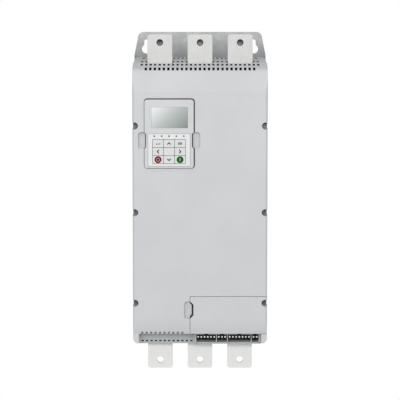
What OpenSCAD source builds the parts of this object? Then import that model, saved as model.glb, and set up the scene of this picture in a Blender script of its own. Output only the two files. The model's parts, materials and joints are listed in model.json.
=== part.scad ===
// Soft starter: a wall-mounted motor starter with flat bus-bar tabs above and below.
// Units are millimetres. The wall is the plane y = 0, the front faces -y and +z is up.
// A depth is a distance from the wall. A height is measured from the middle of the front cover.

/* [Body] */
// Width of the front cover
body_width = 210; // [206:1:230]
// Depth of the front face
front_depth = 222; // [218:1:240]
// Wall thickness of the plastic shells
shell_wall = 3; // [2.5:0.1:3.4]
// How much narrower the rear housing is on each side
housing_inset = 1; // [0.5:0.1:1.4]
// Radius of the upright front edges
edge_radius = 4; // [2:0.5:6]
// Height of the underside of the body
body_bottom = -230; // [-236:0.5:-228]
// Thickness of the floor under the fans and the terminals
floor_thickness = 3; // [2:0.5:4]

/* [Front face] */
// How far below the brow the upper front starts to lean back
crease_drop = 35.4; // [30:0.1:40]
// Height of the notch above the underside of the body
notch_height = 18.6; // [17:0.1:20]
// Height of the lower front that curves back
bevel_rise = 25.4; // [15:0.1:30]
// How far the lower edge of the front lies back
bevel_setback = 6; // [3:0.5:8]
// How far above the underside the two cheeks end
foot_lift = 3.3; // [2:0.1:5]
// Corner radius of the cheeks
foot_radius = 8; // [6:0.5:14]
// Width of each cheek beside the notch
cheek_width = 9; // [8:0.5:11]

/* [Roof] */
// How far the brow lies behind the front face
brow_setback = 4.8; // [3:0.1:8]
// How far the brow lies below the crown
brow_drop = 15.4; // [12:0.1:18]
// Length of the rounding on each side of the brow
brow_round = 7; // [3:0.5:9]
// How far the crown lies behind the front face
crown_setback = 64; // [60:1:75]
// Height of the crown
crown_height = 218.4; // [215:0.1:222]
// Length of the rounding on each side of the crown
crown_round = 17; // [5:1:19]
// Rise of the roof from the crown to the back plate
roof_rise = 3.6; // [1:0.1:8]

/* [Vents] */
// Width of a vent slot
vent_width = 3.6; // [3:0.1:4.5]
// Length of a vent slot
vent_length = 9; // [5:0.5:12]
// Distance of the end slots of a roof row from the inside of the side walls
vent_margin = 10; // [8:0.1:16]
// Slots in the brow row
brow_vents = 25; // [15:2:25]
// Slots in each other row
roof_vents = 27; // [15:2:27]
// How far the second row lies behind the front face
second_row = 30; // [26:0.5:31]
// Height of the slots in the brow
brow_vent_rise = 4.2; // [3:0.1:4.6]
// How far the slots in the brow reach below it
brow_vent_drop = 2; // [1:0.1:2.5]
// Height of the slots of the second row
second_vent_rise = 2.4; // [1.5:0.1:2.6]
// Height of the slots of the third row
third_vent_rise = 1.6; // [1:0.1:1.7]
// How far they stay below the inside of the crown
third_vent_gap = 0.4; // [0.3:0.1:0.5]
// How far the fourth row lies behind the front face
fourth_row = 76; // [72:1:80]
// Length of the outlet slots above the heatsink
outlet_length = 60; // [30:1:70]
// Slots in the lower lip of the cover
lip_vents = 10; // [4:1:10]
// Slots in the back wall of the notch
tray_vents = 12; // [4:1:12]
// Height of the slots in the back wall of the notch
tray_vent_rise = 2.4; // [2:0.1:3.6]

/* [Back plate] */
// How far the back plate stands out beside the body
plate_overhang = 5; // [1:0.5:10]
// Thickness of the back plate
plate_thickness = 3; // [2:0.5:4]
// How far the back plate stands above the roof
flange_rise = 42; // [38:0.5:50]
// Height of the tapered part of the upper flange
taper_rise = 39; // [30:0.5:40]
// Loss of half width at the top of the taper
taper_loss = 8; // [4:0.5:9]
// Radius of the plate corners
plate_radius = 10; // [6:0.5:12]
// How far the back plate stands below the body
flange_drop = 17; // [16:0.5:25]
// Distance of the wall fixings from the side edges of the plate
fixing_inset = 20; // [18:0.5:24]
// Distance of the round entry of a keyhole from the upper edge of the plate
keyhole_drop = 28.5; // [26:0.5:30]
// Radius of the round entry of a keyhole
keyhole_radius = 7.5; // [6:0.5:8]
// Radius of the fixing slot and of the lower fixing holes
fixing_radius = 3.5; // [2.5:0.1:4]
// Length of the keyhole slot, from the middle of its entry to the middle of its end
keyhole_rise = 12.5; // [11:0.5:14]
// Distance of the lower fixing holes from the lower edge of the plate
lower_inset = 8.5; // [7.5:0.5:9]

/* [Bus bars] */
// Width of a bus bar
bar_width = 39; // [34:0.5:41]
// Thickness of a bus bar
bar_thickness = 8; // [6:0.5:9]
// Spacing of the phases
phase_pitch = 63; // [62.5:0.1:63.5]
// Corner radius of a bus bar
bar_radius = 4; // [1:0.5:6]
// How far the upper bars stand above the roof
input_reach = 35; // [28:0.5:42]
// How far the lower bars stand below the body
output_reach = 41.5; // [35:0.5:50]
// Radius of the cable hole in a bar
bar_hole_radius = 5.25; // [4:0.25:6.5]
// Distance from the bar end to the cable hole
bar_hole_inset = 12.8; // [11:0.1:15]
// Height of the inner end of a bar, above or below the middle
bar_inner_end = 10; // [8:0.5:14]
// Clearance around a bar where it leaves the body
bar_clearance = 1; // [0.5:0.1:1.5]

/* [Heatsink and power modules] */
// Thickness of a fin
fin_thickness = 2.6; // [1.5:0.1:4]
// Number of fins
fin_count = 20; // [12:1:24]
// Thickness of the heatsink base
heatsink_base = 20; // [14:1:23]
// Gap between the heatsink and the side walls
heatsink_margin = 7; // [6:0.5:12]
// Free height between the fans and the heatsink
fan_plenum = 22; // [10:0.5:40]
// Free height between the heatsink and the crown
roof_plenum = 38.4; // [20:0.1:60]
// Height of a module above the heatsink base
module_rise = 45; // [40:1:46]
// Width of a thyristor module
thyristor_width = 32; // [28:0.5:34]
// Width of a bypass relay
relay_width = 24; // [20:0.5:24.5]
// Length of both along the bars
module_length = 94; // [80:1:100]
// Gap between a module and its relay
module_gap = 2; // [1:0.1:2.5]
// Distance of the bar bolts from the middle of the module
bolt_offset = 30; // [28:0.5:33]
// Radius of a bar bolt
bolt_radius = 3; // [2.5:0.1:4]
// Radius across the corners of a bar bolt head
bolt_head_radius = 5.8; // [5:0.1:7]
// Height of a bar bolt head
bolt_head = 4; // [3:0.5:5]
// Depth of a bar bolt in its module
bolt_depth = 14; // [8:1:20]

/* [Current transformers] */
// Width of a current transformer
transformer_width = 56; // [52:0.5:60]
// Length of a current transformer along the bar
transformer_length = 40; // [24:1:44]
// Gap between the terminal tray and the current transformers
transformer_gap = 9.9; // [6:0.1:14]
// Thickness of a current transformer in front of the bar
transformer_front = 11; // [5:0.5:12]

/* [Fans] */
// Gap between a fan and the side wall
fan_margin = 8; // [7:0.5:16]
// Height of a fan frame
fan_rise = 25; // [20:1:32]
// Gap between the two fans
fan_gap = 2; // [1.5:0.5:4]
// Gap between the back plate and a fan
fan_setback = 7; // [2:1:12]
// Wall of the fan frame at its middle
fan_wall = 3; // [2:0.5:4]
// Gap between the blade tips and the frame
blade_clearance = 1; // [0.5:0.1:2]
// Radius of the fan hub
hub_radius = 18; // [12:0.5:22]
// Number of blades
blade_count = 7; // [5:1:9]
// Thickness of a blade
blade_thickness = 1.6; // [1:0.1:2.5]
// Pitch angle of a blade
blade_angle = 42; // [30:1:50]
// Height of the fan's motor base and struts
strut_rise = 4; // [3:0.5:5]
// Width of the fan struts and of the guard spokes
strut_width = 4; // [3:0.5:6]
// Width of a guard ring
guard_ring = 2; // [1.5:0.1:3]
// Spacing of the guard rings
guard_pitch = 8; // [7:0.5:10]

/* [Boards] */
// Thickness of the circuit boards
board_thickness = 1.6; // [1:0.1:2]
// Gap between the bars and the power board
power_board_gap = 15; // [13:0.5:15.5]
// Gap between the power board and the keypad pocket
board_clearance = 3.4; // [2.5:0.1:5]
// Gap between the power board and the side walls
board_margin = 11; // [10:0.5:25]
// Gap between the current transformers and the power board
board_lift = 10; // [6:0.5:14]
// How far the power board ends below the brow
board_drop = 28; // [20:0.5:40]
// Distance of the lower standoffs from the lower edge of the power board
standoff_inset = 12; // [8:0.5:18]
// Spacing of the board standoffs
standoff_rise = 160; // [150:1:168]
// Radius of a board standoff
standoff_radius = 4; // [3:0.5:5]
// Radius of a board capacitor
capacitor_radius = 9; // [6:0.5:10]
// Height of a board capacitor
capacitor_rise = 14; // [8:0.5:15]
// Spacing of the board capacitors
capacitor_pitch = 24; // [22:0.5:26]
// Number of board capacitors
capacitor_count = 4; // [2:1:5]

/* [Terminals] */
// How far the back wall of the notch lies behind the front face
tray_setback = 27; // [26:0.5:28]
// Thickness of the tray walls
tray_wall = 2.5; // [2:0.1:3]
// Height of the tray shelf above the lower edge of the front
shelf_lift = 6.4; // [5:0.1:8]
// How far the tray floor reaches in front of its wall, under the plugs
ledge_reach = 5; // [4:0.5:12]
// Spacing of the terminal poles
pole_pitch = 5.08; // [5:0.01:5.1]
// Distance of the first plug from the left edge of the terminal cover
plug_inset = 9.8; // [9:0.1:11]
// Gap between neighbouring plugs
plug_gap = 2; // [1.6:0.1:2.2]
// Height of the underside of the plugs above the floor
plug_lift = 4.4; // [3:0.1:6]
// Height of a plug
plug_rise = 7.7; // [7:0.1:8]
// How far a plug stands in front of the tray wall
plug_reach = 12; // [9:0.5:14]
// Radius of a wire entry
entry_radius = 1.5; // [1.2:0.05:1.7]
// Depth of a wire entry
entry_depth = 2; // [1:0.5:6]
// Height of the wire entries above the underside of a plug
entry_height = 4.7; // [3.5:0.1:5]
// Radius of the latch on top of a plug
latch_radius = 4; // [3:0.1:4.5]
// How far the latch stands above the plug
latch_rise = 2; // [1:0.1:2.5]
// Length of a latch
latch_length = 8; // [4:0.5:9]
// Length of the plug tongue inside its header
tongue_length = 5; // [3:0.5:6]
// Wall of a terminal header
header_wall = 1.2; // [1:0.1:1.5]
// Length of a terminal header behind the face of the tray wall
header_length = 7; // [6.5:0.1:7.5]
// How far the control board ends below the tray
control_board_drop = 2; // [1:0.5:10]

/* [Terminal cover] */
// Width of the terminal cover
cover_width = 120.3; // [117:0.1:124]
// Height of the terminal cover
cover_rise = 59.5; // [56:0.1:64]
// How far the terminal cover reaches back along the side of the body
cover_return = 18; // [16:0.5:19]
// Gap around the terminal cover
cover_gap = 0.6; // [0.3:0.1:1]
// Distance of its finger notch from its upper edge
grip_drop = 7.6; // [5:0.1:12]
// Length of its finger notch
grip_rise = 27; // [22:0.5:30]
// Depth of its finger notch
grip_depth = 5; // [4.5:0.1:6]
// Width of the finger recess beside it
grip_recess = 9; // [7:0.5:12]
// Gap between its finger notch and the tongue of the front cover
grip_gap = 2.8; // [2:0.1:3]

/* [Cover screws] */
// Distance of a screw from the side of the body
screw_inset = 3.4; // [3.3:0.1:4]
// Distance of the upper screws below the leaning part of the front
upper_screw_drop = 52.6; // [45:0.1:60]
// Height of the middle screws
middle_screw = -20; // [-30:1:-10]
// Distance of the lower screws from the upper edge of the terminal cover
lower_screw_drop = 10.4; // [9:0.1:16]
// Radius of a screw channel
channel_radius = 5.5; // [4.5:0.1:6]
// How far the seat of a screw head lies behind the front face
screw_setback = 24; // [23:0.5:28]
// Radius of a screw head
screw_head_radius = 3.2; // [2.6:0.1:3.3]
// Height of a screw head
screw_head = 3.5; // [2:0.1:4]
// Radius of a screw
screw_radius = 1.75; // [1.5:0.05:1.75]
// Length of a screw under its head
screw_length = 45; // [30:1:60]
// Radius of a screw post in the rear housing
post_radius = 6; // [5:0.1:7]

/* [Keypad] */
// Distance of the keypad from the left side of the body
keypad_inset = 18.9; // [18:0.1:30]
// Width of the keypad
keypad_width = 76.3; // [75:0.1:78]
// Distance of the keypad below the leaning part of the front
keypad_drop = 11.5; // [6:0.1:20]
// Height of the keypad from edge to edge
keypad_rise = 106.2; // [105:0.1:110]
// Corner radius of the keypad
keypad_radius = 4; // [2:0.5:5]
// How far the keypad stands in front of the cover
keypad_proud = 3; // [1:0.5:6]
// Thickness of the keypad
keypad_thickness = 20; // [19:0.5:20]
// Gap around the keypad in its pocket
keypad_gap = 1.25; // [1:0.05:1.4]
// How much further right the pocket lies than the keypad
pocket_shift = 0.5; // [0:0.05:0.6]
// How much higher the pocket lies than the keypad
pocket_lift = 0.4; // [0:0.05:0.6]
// Wall of the keypad pocket
pocket_wall = 2; // [1.6:0.1:2.4]
// Depth of the grip notches in the keypad sides
notch_depth = 2.7; // [2.4:0.1:3.2]
// Gap between the grip notches and the tongues of the pocket
tongue_gap = 1.5; // [1.2:0.1:2]
// Distance of the grip notches from the keypad's lower edge
grip_notch_low = 30.1; // [27:0.1:35]
// Length of the grip notches
grip_notch_rise = 25.4; // [20:0.1:30]
// Width of the finger recesses beside the keypad
finger_width = 8.7; // [6:0.1:9]
// Corner radius of every finger recess
finger_radius = 4.5; // [3:0.5:5]
// Depth of every finger recess in the cover
finger_depth = 6; // [4.5:0.5:7]
// Wall of the keypad shells
keypad_wall = 2.2; // [1.6:0.1:2.5]
// Thickness of the back shell of the keypad
keypad_back_shell = 8; // [7:0.5:8.5]

/* [Display and keys] */
// Width of the display window
window_width = 56.4; // [50:0.1:57]
// How far the middle of the window lies right of the middle of the keypad
window_shift = 0.8; // [0:0.1:1]
// Height of the display window
window_rise = 32; // [28:0.1:34]
// Distance of the window's lower edge from the keypad's lower edge
window_bottom = 62.3; // [61.2:0.1:64]
// Thickness of the display window
window_thickness = 1.4; // [1:0.1:1.6]
// Ledge under the display window
window_ledge = 2; // [1.5:0.1:3]
// Thickness of the face overlay
overlay_thickness = 0.4; // [0.3:0.05:0.6]
// Distance of the overlay's side edges from the keypad's side edges
overlay_side = 5; // [4:0.1:6]
// Distance of the overlay's lower edge from the keypad's lower edge
overlay_bottom = 2.4; // [2:0.1:4]
// Height of the overlay from edge to edge
overlay_rise = 51.4; // [50:0.1:53]
// Width of a key cell
key_pitch_x = 17.05; // [16.5:0.05:17.5]
// Height of a key cell
key_pitch_z = 12.5; // [12:0.05:12.7]
// Distance of the key grid's lower edge from the keypad's lower edge
key_bottom = 6.9; // [6.6:0.1:7.4]
// Gap between the keys
key_gap = 0.6; // [0.4:0.05:0.8]
// Corner radius of a key
key_radius = 1; // [0.5:0.1:2]
// How far a key stands in front of the overlay
key_proud = 0.6; // [0.2:0.1:1]
// Free space behind a key
key_free = 1.2; // [1.1:0.1:1.4]
// Width of a key stem
key_stem = 6; // [4:0.5:7]
// Radius of the round stop and start faces
disc_radius = 5; // [4:0.1:5.4]
// Thickness of the round stop and start faces
disc_thickness = 0.5; // [0.3:0.1:0.8]
// Spacing of the status lights
light_pitch = 11.4; // [10:0.1:12]
// Number of status lights
light_count = 5; // [3:1:5]
// Radius of a status light
light_radius = 1.2; // [0.8:0.1:1.3]
// Distance of the status lights from the keypad's lower edge
light_height = 49.6; // [49.4:0.1:50]

/* [Keypad connector] */
// Width of the connector tongue
connector_width = 26; // [16:1:30]
// Height of the connector tongue
connector_rise = 6; // [4:0.5:8]
// Wall of the connector socket
socket_wall = 2; // [1.5:0.1:2.5]
// Distance of the connector from the keypad's lower edge
connector_height = 20; // [16:1:90]

/* [Fits] */
// Clearance of a part that slides
slide_clearance = 0.3; // [0.25:0.05:0.4]
// Clearance of a fixed part in its seat
seat_clearance = 0.15; // [0.1:0.05:0.25]

/* [Hidden] */
$fn = 64;
overcut = 1;
curve_steps = 8;
sides = [-1, 1];
phases = [-1, 0, 1];
hex = 6;
half_body = body_width / 2;
half_housing = half_body - housing_inset;
half_inside = half_housing - shell_wall;
keypad_front = front_depth + keypad_proud;
keypad_back_depth = keypad_front - keypad_thickness;
pocket_back = keypad_back_depth - pocket_wall;
power_board_front = pocket_back - board_clearance;
power_board_back = power_board_front - board_thickness;
bar_front = power_board_back - power_board_gap;
bar_back = bar_front - bar_thickness;
seam_depth = (bar_back + bar_front) / 2;
heatsink_front = bar_back - module_rise;
fin_front = heatsink_front - heatsink_base;
brow_depth = front_depth - brow_setback;
crown_depth = front_depth - crown_setback;
tray_front = front_depth - tray_setback;
cover_back = front_depth - cover_return;
screw_seat = front_depth - screw_setback;
brow_height = crown_height - brow_drop;
crease_height = brow_height - crease_drop;
roof_back_height = crown_height + roof_rise;
plate_top = roof_back_height + flange_rise;
taper_start = plate_top - taper_rise;
keyhole_height = plate_top - keyhole_drop;
plate_bottom = body_bottom - flange_drop;
lower_fixing = plate_bottom + lower_inset;
plate_half = half_body + plate_overhang;
fixing_offset = plate_half - fixing_inset;
input_end = roof_back_height + input_reach;
output_end = body_bottom - output_reach;
high = plate_top;
low = plate_bottom;
floor_top = body_bottom + floor_thickness;
foot_bottom = body_bottom + foot_lift;
bevel_end = body_bottom + notch_height;
bevel_start = bevel_end + bevel_rise;
notch_half = half_body - cheek_width;
vent_pitch = 2 * (half_inside - vent_margin) / (roof_vents - 1);
bar_slot_half = bar_width / 2 + bar_clearance;
brow_vent_low = brow_height - brow_vent_drop;
second_vent_low = slope_height(front_depth - second_row) - second_vent_rise / 2;
third_vent_low = crown_height - shell_wall - third_vent_gap - third_vent_rise;
first_vent = vent_pitch * 3 / 4 - notch_half;
fan_size = half_inside - fan_margin - fan_gap / 2;
fan_spacing = fan_size + fan_gap;
fan_mid = plate_thickness + fan_setback + fan_size / 2;
fan_bore = fan_size / 2 - fan_wall;
blade_tip = fan_bore - blade_clearance;
rotor_bottom = floor_top + strut_rise + slide_clearance;
rotor_top = floor_top + fan_rise - slide_clearance;
heatsink_half = half_inside - heatsink_margin;
heatsink_low = floor_top + fan_rise + fan_plenum;
heatsink_high = crown_height - roof_plenum;
cover_left = half_body - cover_width;
cover_top = bevel_end + cover_rise;
grip_top = cover_top - grip_drop;
grip_bottom = grip_top - grip_rise;
tray_back = tray_front - tray_wall;
tray_half = half_body - shell_wall - slide_clearance;
tray_shelf = bevel_end + shelf_lift;
header_back = tray_front - header_length;
plug_poles = [6, 3, 7, 2];
plug_widths = [for (n = plug_poles) n * pole_pitch];
plug_start = cover_left + plug_inset;
plug_bottom = floor_top + plug_lift;
plug_top = plug_bottom + plug_rise;
plug_face = tray_front + plug_reach;
ledge_left = plug_start - tray_wall - slide_clearance;
control_board_high = cover_top - control_board_drop;
transformer_height = cover_top + transformer_gap + transformer_length / 2;
power_board_low = transformer_height + transformer_length / 2 + board_lift;
power_board_high = brow_height - board_drop;
power_board_half = half_inside - board_margin;
standoff_low = power_board_low + standoff_inset;
screw_offset = half_body - screw_inset;
boss_radius = channel_radius + shell_wall;
screw_heights = [cover_top - lower_screw_drop, middle_screw, crease_height - upper_screw_drop];
lower_screw = screw_heights[0];
tray_right = screw_offset - boss_radius - slide_clearance;
keypad_left = keypad_inset - half_body;
keypad_mid = keypad_left + keypad_width / 2;
keypad_bottom = crease_height - keypad_drop - keypad_rise;
keypad_right = keypad_left + keypad_width;
pocket_mid = keypad_mid + pocket_shift;
pocket_level = keypad_bottom + keypad_rise / 2 + pocket_lift;
split_depth = keypad_back_depth + keypad_back_shell;
keypad_inside = keypad_width - 2 * (keypad_wall + notch_depth);
keypad_inside_rise = keypad_rise - 2 * keypad_wall;
keypad_face_back = keypad_front - keypad_wall;
window_mid = keypad_bottom + window_bottom + window_rise / 2;
overlay_front = keypad_front + overlay_thickness;
overlay_mid = keypad_bottom + overlay_bottom + overlay_rise / 2;
notch_bottom = keypad_bottom + grip_notch_low;
notch_top = notch_bottom + grip_notch_rise;
key_columns = 3;
key_rows = 3;
grid_width = key_columns * key_pitch_x;
grid_rise = key_rows * key_pitch_z;
grid_mid = keypad_bottom + key_bottom + grid_rise / 2;
key_front = overlay_front + key_proud;
carrier_front = keypad_face_back - keypad_wall;
carrier_back = carrier_front - keypad_wall;
key_back_depth = carrier_front + key_free;
stem_end = carrier_back - key_free;
keypad_board_front = stem_end - key_free;
keypad_board_back = keypad_board_front - board_thickness;
light_level = keypad_bottom + light_height;
connector_level = keypad_bottom + connector_height;
socket_front = keypad_back_depth - slide_clearance;
finger_mid = (notch_bottom + notch_top) / 2;
finger_floor = front_depth - finger_depth;

// Blend of two points
function mix(a, b, t) = a + (b - a) * t;
// Point at a given distance from a on the way to b
function toward(a, b, reach) = a + (b - a) * reach / norm(b - a);
// Smooth curve from a to c, drawn towards b
function curve(a, b, c) = [
    for (i = [0:curve_steps]) let (t = i / curve_steps) mix(mix(a, b, t), mix(b, c, t), t)
];
// Sum of the first n values of a list
function sum_first(values, n) = n == 0 ? 0 : values[n - 1] + sum_first(values, n - 1);
// Height of the roof's slope at a depth
function slope_height(depth) = lookup(depth, [[crown_depth, crown_height], [brow_depth, brow_height]]);
// Left end of a plug
function plug_left(n) = plug_start + sum_first(plug_widths, n) + n * plug_gap;
// Middle of a key column, counted from the left, and of a key row, counted from below
function key_x(column) = keypad_mid + (column - (key_columns - 1) / 2) * key_pitch_x;
function key_z(row) = grid_mid + (row - (key_rows - 1) / 2) * key_pitch_z;

// Side outline of the front cover, moved inward and opened at the back and below
function cover_outline(inset, open) =
    let (
        crown = [-crown_depth, crown_height - inset],
        brow = [-(brow_depth - inset), brow_height - inset],
        crease = [-(front_depth - inset), crease_height],
        bevel = [-(front_depth - inset), bevel_start],
        bend = [-(front_depth - inset), (bevel_start + bevel_end) / 2],
        lip = [-(front_depth - bevel_setback - inset), bevel_end]
    )
    concat(
        [[-(seam_depth - open), slope_height(seam_depth - open) - inset]],
        curve(toward(brow, crown, brow_round), brow, toward(brow, crease, brow_round)),
        [crease],
        curve(bevel, bend, lip),
        [[lip[0], foot_bottom - open], [-(seam_depth - open), foot_bottom - open]]
    );

// Side outline of the rear housing, moved inward and opened at the back, in front and below
function housing_outline(inset, open) =
    let (
        back = [-(plate_thickness - open), roof_back_height - inset],
        crown = [-crown_depth, crown_height - inset],
        seam = [-(seam_depth + open), slope_height(seam_depth + open) - inset]
    )
    concat(
        [back],
        curve(toward(crown, back, crown_round), crown, toward(crown, seam, crown_round)),
        [seam, [seam[0], body_bottom - open], [back[0], body_bottom - open]]
    );

// Box between two values of x, two depths and two heights
module block(x0, x1, depth0, depth1, z0, z1) {
    translate([x0, -depth1, z0])
        cube([x1 - x0, depth1 - depth0, z1 - z0]);
}

// Flat shape seen from the front, between two depths
module facing(depth0, depth1) {
    translate([0, -depth0, 0])
        rotate([90, 0, 0])
            linear_extrude(height = depth1 - depth0)
                children();
}

// Flat shape seen from the side, centred on x = 0
module along_x(width) {
    translate([-width / 2, 0, 0])
        rotate([90, 0, 90])
            linear_extrude(height = width)
                children();
}

// Round bar along the depth
module rod(x, z, depth0, depth1, r) {
    translate([x, -depth0, z])
        rotate([90, 0, 0])
            cylinder(h = depth1 - depth0, r = r);
}

// Rectangle with round corners, centred
module rounded(width, rise, r) {
    square([width - 2 * r, rise], center = true);
    square([width, rise - 2 * r], center = true);
    for (x = sides, z = sides)
        translate([x * (width / 2 - r), z * (rise / 2 - r)])
            circle(r = r);
}

// Rectangle with round lower corners
module round_foot(half, z0, z1, r) {
    translate([-half, z0 + r])
        square([2 * half, z1 - z0 - r]);
    translate([-half + r, z0])
        square([2 * (half - r), z1 - z0]);
    for (x = sides)
        translate([x * (half - r), z0 + r])
            circle(r = r);
}

// Row of slots through the roof
module roof_row(count, depth0, depth1, z0) {
    for (i = [0:count - 1])
        translate([(i - (count - 1) / 2) * vent_pitch, 0, 0])
            block(-vent_width / 2, vent_width / 2, depth0, depth1, z0, high);
}

// Row of slots along the depth, the way the moulds open
module front_row(count, depth0, z0, rise) {
    for (i = [0:count - 1])
        translate([(i - (count - 1) / 2) * vent_pitch, 0, 0])
            block(-vent_width / 2, vent_width / 2, depth0, front_depth, z0, z0 + rise);
}

// Openings where the bars leave the body
module bar_slots(z0, z1) {
    for (phase = phases)
        translate([phase * phase_pitch, 0, 0])
            block(-bar_slot_half, bar_slot_half, bar_back - bar_clearance, bar_front + bar_clearance,
                z0, z1);
}

// Outer form of the front cover, shared with the terminal cover
module cover_form() {
    intersection() {
        along_x(body_width)
            polygon(cover_outline(0, 0));
        translate([0, 0, low])
            linear_extrude(height = high - low)
                round_foot(half_body, -front_depth, 0, edge_radius);
        facing(0, front_depth)
            round_foot(half_body, foot_bottom, high, foot_radius);
    }
}

// Skin of the front cover, shared with the terminal cover
module cover_skin() {
    difference() {
        cover_form();
        along_x(body_width - 2 * shell_wall)
            polygon(cover_outline(shell_wall, overcut));
    }
}

// Outline of the finger notch: straight, with slanted ends
module notch_outline(edge, depth, z0, z1) {
    polygon([
        [edge - sign(depth) * overcut, z0 - abs(depth) / 2],
        [edge, z0],
        [edge + depth, z0 + abs(depth)],
        [edge + depth, z1 - abs(depth)],
        [edge, z1],
        [edge - sign(depth) * overcut, z1 + abs(depth) / 2]
    ]);
}

// Every place of a cover screw
module at_screws() {
    for (x = sides, z = screw_heights)
        translate([x * screw_offset, 0, z])
            children();
}

module back_plate() {
    slope = taper_loss / taper_rise;
    corner = plate_half - taper_loss + slope * plate_radius;
    color("silver")
        facing(0, plate_thickness)
            difference() {
                union() {
                    round_foot(plate_half, plate_bottom, taper_start, plate_radius);
                    polygon([
                        [-plate_half, taper_start],
                        [plate_half, taper_start],
                        [corner, plate_top - plate_radius],
                        [-corner, plate_top - plate_radius]
                    ]);
                    translate([-(corner - plate_radius), plate_top - 2 * plate_radius])
                        square([2 * (corner - plate_radius), 2 * plate_radius]);
                    for (x = sides)
                        translate([x * (corner - plate_radius), plate_top - plate_radius])
                            circle(r = plate_radius);
                }
                for (x = sides)
                    translate([x * fixing_offset, 0]) {
                        translate([0, keyhole_height])
                            circle(r = keyhole_radius);
                        translate([-fixing_radius, keyhole_height])
                            square([2 * fixing_radius, keyhole_rise]);
                        translate([0, keyhole_height + keyhole_rise])
                            circle(r = fixing_radius);
                        translate([0, lower_fixing])
                            circle(r = fixing_radius);
                    }
            }
}

module rear_housing() {
    post_back = seam_depth - screw_length;
    outlet_back = fin_front - outlet_length;
    color("lightgray")
        difference() {
            union() {
                difference() {
                    along_x(2 * half_housing)
                        polygon(housing_outline(0, 0));
                    along_x(2 * half_inside)
                        polygon(housing_outline(shell_wall, overcut));
                }
                intersection() {
                    block(-half_housing, half_housing, post_back, seam_depth, low, high);
                    at_screws()
                        rod(0, 0, post_back, seam_depth, post_radius);
                }
            }
            at_screws()
                rod(0, 0, post_back + shell_wall, seam_depth + overcut, screw_radius + seat_clearance / 2);
            front_row(roof_vents, crown_depth, third_vent_low, third_vent_rise);
            roof_row(roof_vents, front_depth - fourth_row - vent_length / 2,
                front_depth - fourth_row + vent_length / 2, crease_height);
            roof_row(roof_vents, outlet_back, fin_front, crease_height);
            bar_slots(crease_height, high);
        }
}

// Round opening of a fan with its guard rings and spokes left standing
module fan_opening() {
    ring_count = floor((fan_bore - guard_ring) / guard_pitch);
    difference() {
        translate([0, 0, body_bottom - overcut])
            cylinder(h = floor_thickness + 2 * overcut, r = fan_bore);
        for (n = [1:ring_count])
            difference() {
                translate([0, 0, body_bottom])
                    cylinder(h = floor_thickness, r = n * guard_pitch);
                translate([0, 0, body_bottom - overcut])
                    cylinder(h = floor_thickness + 2 * overcut, r = n * guard_pitch - guard_ring);
            }
        for (turn = [0, 90])
            rotate([0, 0, turn])
                translate([-fan_bore, -strut_width / 2, body_bottom])
                    cube([2 * fan_bore, strut_width, floor_thickness]);
    }
}

module bottom_panel() {
    color("lightgray")
        difference() {
            block(-half_inside, half_inside, plate_thickness, seam_depth, body_bottom, floor_top);
            for (x = sides)
                translate([x * fan_spacing / 2, -fan_mid, 0])
                    fan_opening();
            bar_slots(body_bottom - overcut, floor_top + overcut);
        }
}

// Pocket of the keypad and the blocks behind the finger recesses
module cover_backings() {
    pocket_w = keypad_width + 2 * (keypad_gap + pocket_wall);
    pocket_h = keypad_rise + 2 * (keypad_gap + pocket_wall);
    recess_half = keypad_width / 2 + keypad_gap + finger_width + pocket_wall;
    face = front_depth - shell_wall;
    block(pocket_mid - pocket_w / 2, pocket_mid + pocket_w / 2, pocket_back, face,
        pocket_level - pocket_h / 2, pocket_level + pocket_h / 2);
    block(keypad_mid - recess_half, keypad_mid + recess_half, finger_floor - pocket_wall, face,
        notch_bottom - pocket_wall, notch_top + pocket_wall);
    block(cover_left - cover_gap - grip_recess - pocket_wall, cover_left - cover_gap,
        finger_floor - pocket_wall, face, grip_bottom - pocket_wall, grip_top + pocket_wall);
}

// Everything that is cut into the front of the cover
module cover_cuts() {
    recess_half = keypad_width / 2 + keypad_gap + finger_width;
    translate([pocket_mid, 0, pocket_level])
        facing(keypad_back_depth, front_depth + overcut)
            rounded(keypad_width + 2 * keypad_gap, keypad_rise + 2 * keypad_gap, keypad_radius + keypad_gap);
    translate([keypad_mid, 0, finger_mid])
        facing(finger_floor, front_depth + overcut)
            rounded(2 * recess_half, grip_notch_rise, finger_radius);
    translate([0, 0, (grip_top + grip_bottom) / 2])
        facing(finger_floor, front_depth + overcut)
            translate([cover_left, 0])
                rounded(2 * (grip_recess + cover_gap), grip_rise, finger_radius);
    translate([keypad_mid, 0, connector_level])
        facing(pocket_back - overcut, front_depth)
            square([
                connector_width + 2 * (slide_clearance + socket_wall + seat_clearance),
                connector_rise + 2 * (slide_clearance + socket_wall + seat_clearance)
            ], center = true);
}

// Tongues that carry the floor of each finger recess into its grip notch
module cover_tongues() {
    facing(pocket_back, finger_floor) {
        notch_outline(keypad_left - tongue_gap, notch_depth, notch_bottom, notch_top);
        notch_outline(keypad_right + tongue_gap, -notch_depth, notch_bottom, notch_top);
    }
    facing(finger_floor - pocket_wall, finger_floor)
        notch_outline(cover_left - grip_gap, grip_depth, grip_bottom + pocket_wall / 2,
            grip_top - pocket_wall / 2);
}

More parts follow.
